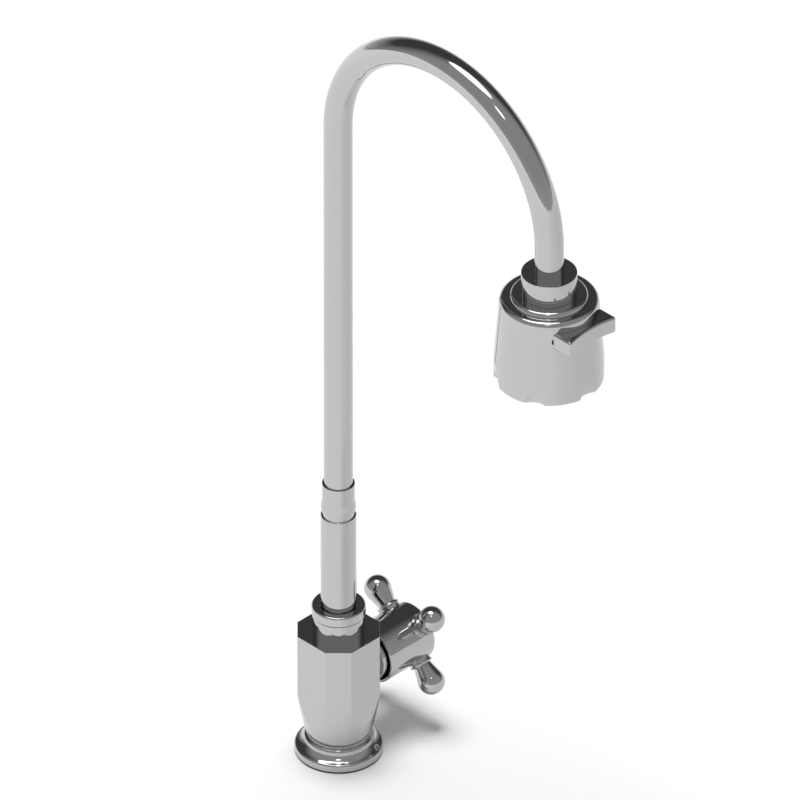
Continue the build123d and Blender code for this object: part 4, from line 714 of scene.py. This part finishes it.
# %% Tree and modifier helpers
def new_tree(name, **sizes):
    """Empty geometry tree with named number inputs and a Finish input."""
    tree = bpy.data.node_groups.new(name, "GeometryNodeTree")
    kinds = {float: "NodeSocketFloat", int: "NodeSocketInt"}
    tree.interface.new_socket("Geometry", in_out="INPUT", socket_type="NodeSocketGeometry")
    for label, value in sizes.items():
        tree.interface.new_socket(label, in_out="INPUT", socket_type=kinds[type(value)])
    tree.interface.new_socket("finish", in_out="INPUT", socket_type="NodeSocketMaterial")
    tree.interface.new_socket("Geometry", in_out="OUTPUT", socket_type="NodeSocketGeometry")
    recipe = Recipe(tree)
    return recipe, recipe.outputs("NodeGroupInput")


def close_tree(recipe, shape, finish):
    """Every tree ends in real faces with the finish on them."""
    real = recipe.node("GeometryNodeRealizeInstances", None, {"Geometry": shape})
    painted = recipe.node("GeometryNodeSetMaterial", None, {"Geometry": real, "Material": finish})
    recipe.node("NodeGroupOutput", None, {"Geometry": painted})


def grow(name, recipe, start_mesh, finish, **sizes):
    """Run a tree on a mesh and keep the result as a plain mesh."""
    thing = bpy.data.objects.new(name, start_mesh)
    bpy.context.collection.objects.link(thing)
    modifier = thing.modifiers.new("rule", "NODES")
    modifier.node_group = recipe.tree
    for item in recipe.tree.interface.items_tree:
        if item.in_out == "INPUT" and item.name in sizes:
            modifier[item.identifier] = sizes[item.name]
        if item.in_out == "INPUT" and item.name == "finish":
            modifier[item.identifier] = FINISHES[finish]
    finished = thing.evaluated_get(bpy.context.evaluated_depsgraph_get())
    grown = bpy.data.meshes.new_from_object(finished)
    thing.modifiers.clear()
    thing.data = grown
    grown.name = name
    return thing


print("trees are grown on a start mesh and baked")

# %% Swan neck
HEAD_REACH = 161.3
NECK_POINTS = 300
neck_sizes = {"foot": 0.130, "riser": 0.285, "bend": HEAD_REACH / 2 * MM, "drop": 0.025,
              "radius": 0.008, "sides": 72}
r, given = new_tree("swan_neck_tree", **neck_sizes)
whole = given["riser"] + given["bend"] * math.pi + given["drop"]
line_end = r.node("ShaderNodeCombineXYZ", None, {"Z": whole})
line = r.node("GeometryNodeCurvePrimitiveLine", None, {"End": line_end})
line = r.node("GeometryNodeResampleCurve", None, {"Curve": line, "Count": NECK_POINTS})
along = r.node("GeometryNodeSplineParameter", output="Length")
angle = (along - given["riser"]) / given["bend"]
angle = angle.maths("MAXIMUM", angle, 0.0)
angle = angle.maths("MINIMUM", angle, math.pi)
past = along - given["riser"] - given["bend"] * math.pi
past = past.maths("MAXIMUM", past, 0.0)
straight = along.maths("MINIMUM", along, given["riser"])
y = given["bend"] * (angle.maths("COSINE", angle) - 1.0)
z = given["foot"] + straight + given["bend"] * angle.maths("SINE", angle) - past
spot = r.node("ShaderNodeCombineXYZ", None, {"Y": y, "Z": z})
line = r.node("GeometryNodeSetPosition", None, {"Geometry": line, "Position": spot})
circle = r.node("GeometryNodeCurvePrimitiveCircle", None,
                {"Resolution": given["sides"], "Radius": given["radius"]})
wall = r.node("GeometryNodeCurveToMesh", None, {"Curve": line, "Profile Curve": circle, "Fill Caps": True})
wall = r.node("GeometryNodeSetShadeSmooth", None, {"Geometry": wall})
close_tree(r, wall, given["finish"])
swan_neck = grow("swan_neck", r, bpy.data.meshes.new("swan_neck_start"), "chrome", **neck_sizes)
dress(swan_neck, "spout", "chrome", "gooseneck_tube")

# %% [markdown]
# ## The swivel nut
#
# A smooth nut joins the tube's end to the spray head and lets the head turn
# under it. It is one cylinder with a barely broken edge, so only its ends
# catch a glint.

# %% Swivel nut
ON_HEAD = Matrix.Translation(Vector((0, -HEAD_REACH, 0)) * MM)
SWIVEL_RADIUS, SWIVEL_FOOT, SWIVEL_TOP = 15.24, 385.7, 399.1
SWIVEL_BORE, SWIVEL_BORE_FOOT, SWIVEL_BORE_TOP = 11.05, 387.7, 396.6
STEM_HOLE, TUBE_END_HOLE = 6.9, 8.03
swivel_nut = turned("swivel_nut", rounded([
    (STEM_HOLE, SWIVEL_FOOT), (SWIVEL_RADIUS, SWIVEL_FOOT, 0.15), (SWIVEL_RADIUS, SWIVEL_TOP, 0.3),
    (TUBE_END_HOLE, SWIVEL_TOP), (TUBE_END_HOLE, SWIVEL_BORE_TOP), (SWIVEL_BORE, SWIVEL_BORE_TOP),
    (SWIVEL_BORE, SWIVEL_BORE_FOOT), (STEM_HOLE, SWIVEL_BORE_FOOT)]), ON_HEAD)
dress(swivel_nut, "spout", "chrome", "connector_nut")

# %% [markdown]
# ## The bell of the spray head
#
# The bell is turned too: a straight skirt, a slightly conical wall, a soft
# shoulder and a raised disc that carries the nut. Six finger scoops are then
# milled round the rim with a slanted round cutter, and a slot is cut through
# the wall for the lever. Here the same happens in the same order: spin the
# outline, then subtract cutters. Weighted normals keep the long walls true
# after the cut.


# %% Cutting and blending helpers
def settle(thing, *modifiers):
    """Apply modifiers given as (type, settings) and keep a plain mesh."""
    for kind, settings in modifiers:
        modifier = thing.modifiers.new(kind.lower(), kind)
        for key, value in settings.items():
            setattr(modifier, key, value)
    finished = thing.evaluated_get(bpy.context.evaluated_depsgraph_get())
    mesh = bpy.data.meshes.new_from_object(finished)
    thing.modifiers.clear()
    thing.data = mesh
    mesh.name = thing.name
    return thing


def soften(thing, angle=28):
    """Smooth faces, sharp creases over an angle, long faces kept true."""
    work = bmesh.new()
    work.from_mesh(thing.data)
    bmesh.ops.remove_doubles(work, verts=work.verts, dist=1e-6)
    bmesh.ops.dissolve_degenerate(work, edges=work.edges, dist=1e-7)
    for face in work.faces:
        face.smooth = True
    for edge in work.edges:
        edge.smooth = not (len(edge.link_faces) == 2 and edge.calc_face_angle() > math.radians(angle))
    work.to_mesh(thing.data)
    work.free()
    return settle(thing, ("WEIGHTED_NORMAL", {"keep_sharp": True, "mode": "FACE_AREA"}))


def tube_cutter(radius, low, high, place):
    """Round bar along Z, between two heights, set at a place."""
    work = bmesh.new()
    bmesh.ops.create_cone(work, cap_ends=True, segments=96, radius1=radius * MM, radius2=radius * MM,
                          depth=(high - low) * MM,
                          matrix=place @ Matrix.Translation((0, 0, (low + high) / 2 * MM)))
    mesh = bpy.data.meshes.new("cutter")
    work.to_mesh(mesh)
    work.free()
    return mesh


def slot_cutter(inner, outer, low, high, half_angle):
    """Ring sector centred on -Y whose two ends are half round."""
    middle, half = (low + high) / 2, (high - low) / 2
    columns, rows = 40, 12
    work = bmesh.new()
    shells = []
    for radius in (inner, outer):
        shell = []
        for row in range(rows + 1):
            a = math.pi * row / rows - math.pi / 2
            reach = half_angle + half / outer * (math.cos(a) - 1)
            z = middle + half * math.sin(a)
            turns = [reach * (2 * k / columns - 1) for k in range(columns + 1)]
            line = [Vector((radius * math.sin(t), -radius * math.cos(t), z)) * MM for t in turns]
            shell.append([work.verts.new(ON_HEAD @ point) for point in line])
        for one, two in zip(shell, shell[1:]):
            for k in range(columns):
                work.faces.new((one[k], one[k + 1], two[k + 1], two[k]))
        right_end = [line[-1] for line in shell[1:-1]]
        left_end = [line[0] for line in shell[-2:0:-1]]
        shells.append(shell[0] + right_end + shell[-1][::-1] + left_end)
    for k in range(len(shells[0])):
        m = (k + 1) % len(shells[0])
        work.faces.new((shells[0][k], shells[0][m], shells[1][m], shells[1][k]))
    bmesh.ops.recalc_face_normals(work, faces=work.faces)
    mesh = bpy.data.meshes.new("slot")
    work.to_mesh(mesh)
    work.free()
    return mesh


print("cutters are ready")

# %% Turn the bell
BELL_FOOT, BELL_RADIUS, SKIRT_TOP = 331.4, 30.0, 345.4
BELL_BORE, CEILING = 24.9, 380.6
WALL_TOP, SHOULDER_END = (27.2, 380.1), (24.2, 383.1)
DISC_RADIUS, DISC_SIDE_TOP = 21.4, 383.2
DISC_ROUNDING_END = (19.0, 385.6)
BUSH_SINK_RADIUS, BUSH_SINK_FOOT, BUSH_HOLE = 9.8, 384.1, 8.37
bell_outline = rounded([
    (BELL_BORE, BELL_FOOT), (BELL_RADIUS, BELL_FOOT, 0.3), (BELL_RADIUS, SKIRT_TOP), WALL_TOP]
    + bow(WALL_TOP, (26.321, 382.221), SHOULDER_END, 12)
    + [SHOULDER_END, (DISC_RADIUS, SHOULDER_END[1]), (DISC_RADIUS, DISC_SIDE_TOP)]
    + bow((DISC_RADIUS, DISC_SIDE_TOP), (20.697, 384.897), DISC_ROUNDING_END, 12)
    + [DISC_ROUNDING_END, (BUSH_SINK_RADIUS, DISC_ROUNDING_END[1]), (BUSH_SINK_RADIUS, BUSH_SINK_FOOT),
       (BUSH_HOLE, BUSH_SINK_FOOT), (BUSH_HOLE, CEILING), (BELL_BORE, CEILING)])
bell = turned("spray_bell", bell_outline, ON_HEAD, 192)
bell.data.normals_split_custom_set([(0, 0, 0)] * len(bell.data.loops))
print("the bell is", BELL_RADIUS * 2, "mm across before its cuts")

# %% Cut the scoops and the slot
SLOT_LOW, SLOT_HIGH, SLOT_HALF_ANGLE = 370.0, 374.0, math.radians(42.2)
SCOOP_COUNT, SCOOP_RADIUS, SCOOP_DISTANCE = 6, 9.425, 37.21
SCOOP_DEPTH, SCOOP_HEIGHT = 2.6, 9.0
cutters = [slot_cutter(22.0, 33.0, SLOT_LOW, SLOT_HIGH, SLOT_HALF_ANGLE)]
for k in range(SCOOP_COUNT):
    place = (ON_HEAD @ Matrix.Rotation(2 * math.pi * k / SCOOP_COUNT, 4, "Z")
             @ Matrix.Translation(Vector((0, -SCOOP_DISTANCE, BELL_FOOT)) * MM)
             @ Matrix.Rotation(math.atan2(SCOOP_DEPTH, SCOOP_HEIGHT), 4, "X"))
    cutters.append(tube_cutter(SCOOP_RADIUS, -14, 18, place))
for cutter_mesh in cutters:
    cutter = bpy.data.objects.new("cutter", cutter_mesh)
    bpy.context.collection.objects.link(cutter)
    settle(bell, ("BOOLEAN", {"object": cutter, "operation": "DIFFERENCE", "solver": "EXACT"}))
    bpy.data.objects.remove(cutter)
soften(bell)
dress(bell, "head", "chrome", "head_housing")

# %% [markdown]
# ## The jet lever
#
# The thumb lever that switches between stream and spray is a small bar that
# hugs the bell behind and is hollowed in front for the thumb. Its plan is
# one outline. The skin is made in bands up that outline, with soft edges
# above and below. Its back leans with the bell's wall and keeps crisp edges.

# %% Lever
HALF, END_Y, MIDDLE_Y, END_ROUNDING = 18.0, -34.0, -31.5, 1.6
LEVER_LOW, LEVER_HIGH, LEVER_EDGE = 367.0, 377.0, 1.5
BACK_R, BACK_R_HEIGHT, BACK_STEPS = 27.96, 372.5, 36
BELL_LEAN = 0.0807
FRONT_STEPS, EDGE_STEPS = 36, 5
back_y = -math.sqrt(BACK_R ** 2 - HALF ** 2)
front = rounded([(-HALF, back_y), (-HALF, END_Y, END_ROUNDING)]
                + bow((-HALF, END_Y), (0, MIDDLE_Y), (HALF, END_Y), FRONT_STEPS)[2:-2]
                + [(HALF, END_Y, END_ROUNDING), (HALF, back_y)], 6)
ends = end_normals(front, closed=False)
ends = [ends[0]] + ends + [ends[-1]]
front_normals = [(a[1] + b[0]).normalized() for a, b in zip(ends, ends[1:])]


def lever_row(angle, high):
    """One closed line round the lever's soft edge, with its normals."""
    inset = LEVER_EDGE * (1 - math.cos(angle))
    rise = math.sin(angle) if high else -math.sin(angle)
    z = (LEVER_HIGH - LEVER_EDGE if high else LEVER_LOW + LEVER_EDGE) + LEVER_EDGE * rise
    radius = BACK_R + (BACK_R_HEIGHT - z) * BELL_LEAN
    side = HALF - inset
    corner = -math.sqrt(radius ** 2 - side ** 2)
    points, normals = [], []
    for p, n in zip(front, front_normals):
        q = p - n * inset
        points.append((q.x, min(q.y, corner) if abs(n.y) < 0.1 else q.y, z))
        normals.append((n.x * math.cos(angle), n.y * math.cos(angle), rise))
    points[0], points[-1] = (-side, corner, z), (side, corner, z)
    for k in range(BACK_STEPS + 1):
        x = side * (1 - 2 * k / BACK_STEPS)
        y = -math.sqrt(radius ** 2 - x ** 2)
        points.append((x, y, z))
        normals.append((-x / radius, -y / radius, BELL_LEAN))
    return points, normals


lever_bands = []
angles = [math.pi / 2 * k / EDGE_STEPS for k in range(EDGE_STEPS + 1)]
for a, b in zip(angles, angles[1:]):
    lever_bands.append(lever_row(b, False) + lever_row(a, False))
    lever_bands.append(lever_row(a, True) + lever_row(b, True))
lever_bands.append(lever_row(0, False) + lever_row(0, True))
lever = skin("jet_lever", lever_bands, ON_HEAD,
             [(lever_row(math.pi / 2, True)[0], (0, 0, 1)),
              (lever_row(math.pi / 2, False)[0][::-1], (0, 0, -1))])
dress(lever, "selector", "chrome", "selector_lever")

# %% [markdown]
# ## The cross handle
#
# The handle is a cup that slips over the valve's bonnet, with four arms
# screwed into its side and a badge in front. Every arm is the same turned
# part: a collar, a slim cone and a ball. One arm is turned once, and a
# Geometry Nodes tree sets copies of it round the axis.

# %% Bonnet, cup and badge
HANDLE_HEIGHT = 50.7
ON_HANDLE = Matrix.Translation((0, 0, HANDLE_HEIGHT * MM)) @ Matrix.Rotation(math.pi / 2, 4, "Y")
BONNET_RADIUS, BONNET_END = 14.05, 35.0
BONNET_THREAD, BONNET_THREAD_END, SPINDLE_HOLE = 10.05, 33.0, 6.55
bonnet = turned("valve_bonnet", rounded([
    (BONNET_THREAD, FLAT), (BONNET_RADIUS, FLAT), (BONNET_RADIUS, BONNET_END, 0.8),
    (SPINDLE_HOLE, BONNET_END), (SPINDLE_HOLE, BONNET_THREAD_END),
    (BONNET_THREAD, BONNET_THREAD_END)], 4), ON_HANDLE)
dress(bonnet, "fixed", "chrome", "bonnet_nut")

CUP_RADIUS, CUP_BORE, CUP_RIM, CUP_FLOOR, CUP_FRONT = 16.9, 15.4, 24.5, 42, 58.3
RECESS_RADIUS, RECESS_FLOOR = 7.95, 56.3
cup = turned("handle_cup", rounded([
    (0, CUP_FLOOR), (CUP_BORE, CUP_FLOOR), (CUP_BORE, CUP_RIM, 0.3), (CUP_RADIUS, CUP_RIM, 0.5),
    (CUP_RADIUS, CUP_FRONT, 1.4), (RECESS_RADIUS, CUP_FRONT, 0.15), (RECESS_RADIUS, RECESS_FLOOR),
    (0, RECESS_FLOOR)], 6), ON_HANDLE)
dress(cup, "handle", "chrome", "handle_hub", "handle_screw")

BADGE_RADIUS, BADGE_CROWN = 7.9, (0, 58.8)
badge_side = rounded([(0, RECESS_FLOOR), (BADGE_RADIUS, RECESS_FLOOR), (BADGE_RADIUS, CUP_FRONT, 0.15)])
badge_front = bow((7.75, 58.32), (3.95, 58.68), BADGE_CROWN, 10) + [BADGE_CROWN]
badge = turned("handle_badge", badge_side + [Vector(point) for point in badge_front], ON_HANDLE)
dress(badge, "handle", "chrome", "index_cap")

# %% Arms
BALL_RADIUS, BALL_CENTRE = 7.5, 29.5
PEG_RADIUS, PEG_END = 2.45, 9.4
COLLAR_FOOT, COLLAR_STEP, COLLAR_END = (6.3, 15.4), (6.3, 17.4), (6.3, 19.1)
CONE_FOOT = (4.95, COLLAR_END[1])
cone_rise = BALL_CENTRE - CONE_FOOT[1]
cone_length = math.sqrt(cone_rise ** 2 + CONE_FOOT[0] ** 2 - BALL_RADIUS ** 2)
cone_lean = math.atan2(BALL_RADIUS, cone_length) - math.atan2(CONE_FOOT[0], cone_rise)
CONE_END = (CONE_FOOT[0] + cone_length * math.sin(cone_lean),
            CONE_FOOT[1] + cone_length * math.cos(cone_lean))
BALL_TIP = (0, BALL_CENTRE + BALL_RADIUS)
slanted = BALL_RADIUS * math.sqrt(0.5)
arm_outline = rounded([
    (0, PEG_END), (PEG_RADIUS, PEG_END), (PEG_RADIUS, COLLAR_FOOT[1]), COLLAR_FOOT, COLLAR_STEP]
    + bow(COLLAR_STEP, (6.6, 18.25), COLLAR_END, 8)
    + [COLLAR_END, (*CONE_FOOT, 0.25), CONE_END]
    + bow(CONE_END, (slanted, BALL_CENTRE + slanted), BALL_TIP, 20) + [BALL_TIP])
one_arm = turned("one_arm", arm_outline, Matrix(), 72)
arm_sizes = {"count": 4, "first": math.radians(45), "forward": 0.051, "height": HANDLE_HEIGHT * MM}
r, given = new_tree("arms_round_a_hub", **arm_sizes)
arm_number = r.node("GeometryNodeInputIndex")
turn = given["first"] + arm_number * (2 * math.pi) / given["count"]
centre = r.node("ShaderNodeCombineXYZ", None, {"X": given["forward"], "Z": given["height"]})
spots = r.node("GeometryNodePoints", None, {"Count": given["count"], "Position": centre})
lean = r.node("ShaderNodeCombineXYZ", None, {"X": turn})
arms = r.node("GeometryNodeInstanceOnPoints", None,
              {"Points": spots, "Instance": given["Geometry"], "Rotation": lean})
close_tree(r, arms, given["finish"])
handle_arms = grow("handle_arms", r, one_arm.data, "chrome", **arm_sizes)
bpy.data.objects.remove(one_arm)
arm_nodes = [f"handle_arm_{k + 1}" for k in range(arm_sizes["count"])]
dress(handle_arms, "handle", "chrome", *arm_nodes)

# %% [markdown]
# ## Under the spray head
#
# Nobody sees it in the picture, but a hand under the tap does: a ring of
# soft nozzles round the aerator. The nozzles repeat on three circles, so a
# tree places them, as many on each circle as the spacing allows.

# %% Aerator ring and nozzles
AERATOR_FOOT, PLATE_FACE, AERATOR_TOP = 331.8, 332.6, 348.2
RING_HOLE, RING_RADIUS = 5.3, 9.4
BARREL_HOLE, BARREL_RADIUS = 6.0, 7.35
aerator = turned("aerator_ring", rounded([
    (RING_HOLE, AERATOR_FOOT, 0.15), (RING_RADIUS, AERATOR_FOOT, 0.3), (RING_RADIUS, PLATE_FACE),
    (BARREL_RADIUS, PLATE_FACE), (BARREL_RADIUS, AERATOR_TOP), (BARREL_HOLE, AERATOR_TOP),
    (BARREL_HOLE, PLATE_FACE), (RING_HOLE, PLATE_FACE)]), ON_HEAD)
dress(aerator, "head", "chrome", "aerator_body")

JET_RADIUS, NOZZLE_TIP, NOZZLE_ROOT, NOZZLE_SINK = 0.62, 0.9, 1.25, 0.02
NOZZLE_HEIGHT = 0.65
CIRCLE_COUNT = 3
nozzle = turned("one_nozzle", rounded([
    (JET_RADIUS, -NOZZLE_HEIGHT, 0.05), (NOZZLE_TIP, -NOZZLE_HEIGHT, 0.12),
    (NOZZLE_ROOT, NOZZLE_SINK), (JET_RADIUS, NOZZLE_SINK)], 2), Matrix(), 16)
nozzle_sizes = {"outer": 0.02035, "step": 0.0038, "spacing": 0.0064,
                "reach": HEAD_REACH * MM, "face": PLATE_FACE * MM}
r, given = new_tree("nozzles_on_circles", **nozzle_sizes)
circles = r.node("GeometryNodeJoinGeometry")
join = circles.socket.node
for row in range(CIRCLE_COUNT):
    radius = given["outer"] - given["step"] * row
    count = radius.maths("ROUND", radius * (2 * math.pi) / given["spacing"])
    one = r.node("GeometryNodeMeshCircle", None, {"Vertices": count, "Radius": radius})
    r.tree.links.new(one.socket, join.inputs[0])
centre = r.node("ShaderNodeCombineXYZ", None, {"Y": given["reach"] * -1, "Z": given["face"]})
circles = r.node("GeometryNodeTransform", None, {"Geometry": circles, "Translation": centre})
jets = r.node("GeometryNodeInstanceOnPoints", None,
              {"Points": circles, "Instance": given["Geometry"]})
close_tree(r, jets, given["finish"])
nozzles = grow("spray_nozzles", r, nozzle.data, "grey_plastic", **nozzle_sizes)
bpy.data.objects.remove(nozzle)
dress(nozzles, "head", "grey_plastic")

# %% [markdown]
# ## The threaded shank
#
# Below the worktop the tap hangs on a hollow shank with a pipe thread. The
# thread is a ridge that climbs round a plain core, so a tree winds a spiral
# and sweeps a three-sided section along it, once below and once above the
# groove that the cutting tool needs.

# %% Shank
SHANK_BORE, CORE_RADIUS, GROOVE_RADIUS = 6.5, 9.55, 9.3
SHANK_FOOT, CHAMFER_TOP, GROOVE_FOOT, GROOVE_TOP, SHANK_TOP = -58.0, -56.8, -37.0, -34.5, 26.0
THREADS = ((-0.0566, -0.0378), (-0.0337, 0.0115))
core = turned("shank_core", rounded([
    (SHANK_BORE, SHANK_FOOT), (GROOVE_RADIUS, SHANK_FOOT), (CORE_RADIUS, CHAMFER_TOP),
    (CORE_RADIUS, GROOVE_FOOT), (GROOVE_RADIUS, GROOVE_FOOT), (GROOVE_RADIUS, GROOVE_TOP),
    (CORE_RADIUS, GROOVE_TOP), (CORE_RADIUS, SHANK_TOP), (SHANK_BORE, SHANK_TOP)]), Matrix(), 96)
thread_sizes = {"pitch": 0.001814, "crest": 0.01045, "depth": 0.00072}
r, given = new_tree("pipe_thread", **thread_sizes)
middle = given["crest"] - given["depth"]
ridges = r.node("GeometryNodeJoinGeometry")
join = ridges.socket.node
r.tree.links.new(given["Geometry"].socket, join.inputs[0])
for low, high in THREADS:
    spiral = r.node("GeometryNodeCurveSpiral", None, {
        "Resolution": 48, "Rotations": (high - low) / given["pitch"],
        "Start Radius": middle, "End Radius": middle, "Height": high - low})
    upright = r.node("GeometryNodeSetCurveNormal", {"mode": "Z_UP"}, {"Curve": spiral})
    section = r.node("GeometryNodeCurvePrimitiveCircle", None,
                     {"Resolution": 3, "Radius": given["depth"]})
    ridge = r.node("GeometryNodeCurveToMesh", None,
                   {"Curve": upright, "Profile Curve": section, "Fill Caps": True})
    ridge = r.node("GeometryNodeSetShadeSmooth", None,
                   {"Geometry": ridge, "Shade Smooth": False})
    ridge = r.node("GeometryNodeTransform", None,
                   {"Geometry": ridge, "Translation": (0, 0, low)})
    r.tree.links.new(ridge.socket, join.inputs[0])
close_tree(r, ridges, given["finish"])
shank = grow("supply_shank", r, core.data, "brass", **thread_sizes)
bpy.data.objects.remove(core)
dress(shank, "fixed", "brass", "threaded_shank")

# %% [markdown]
# ## Last step
#
# The colours are shown with the Standard view transform.

# %% Colour view
bpy.context.scene.view_settings.view_transform = "Standard"
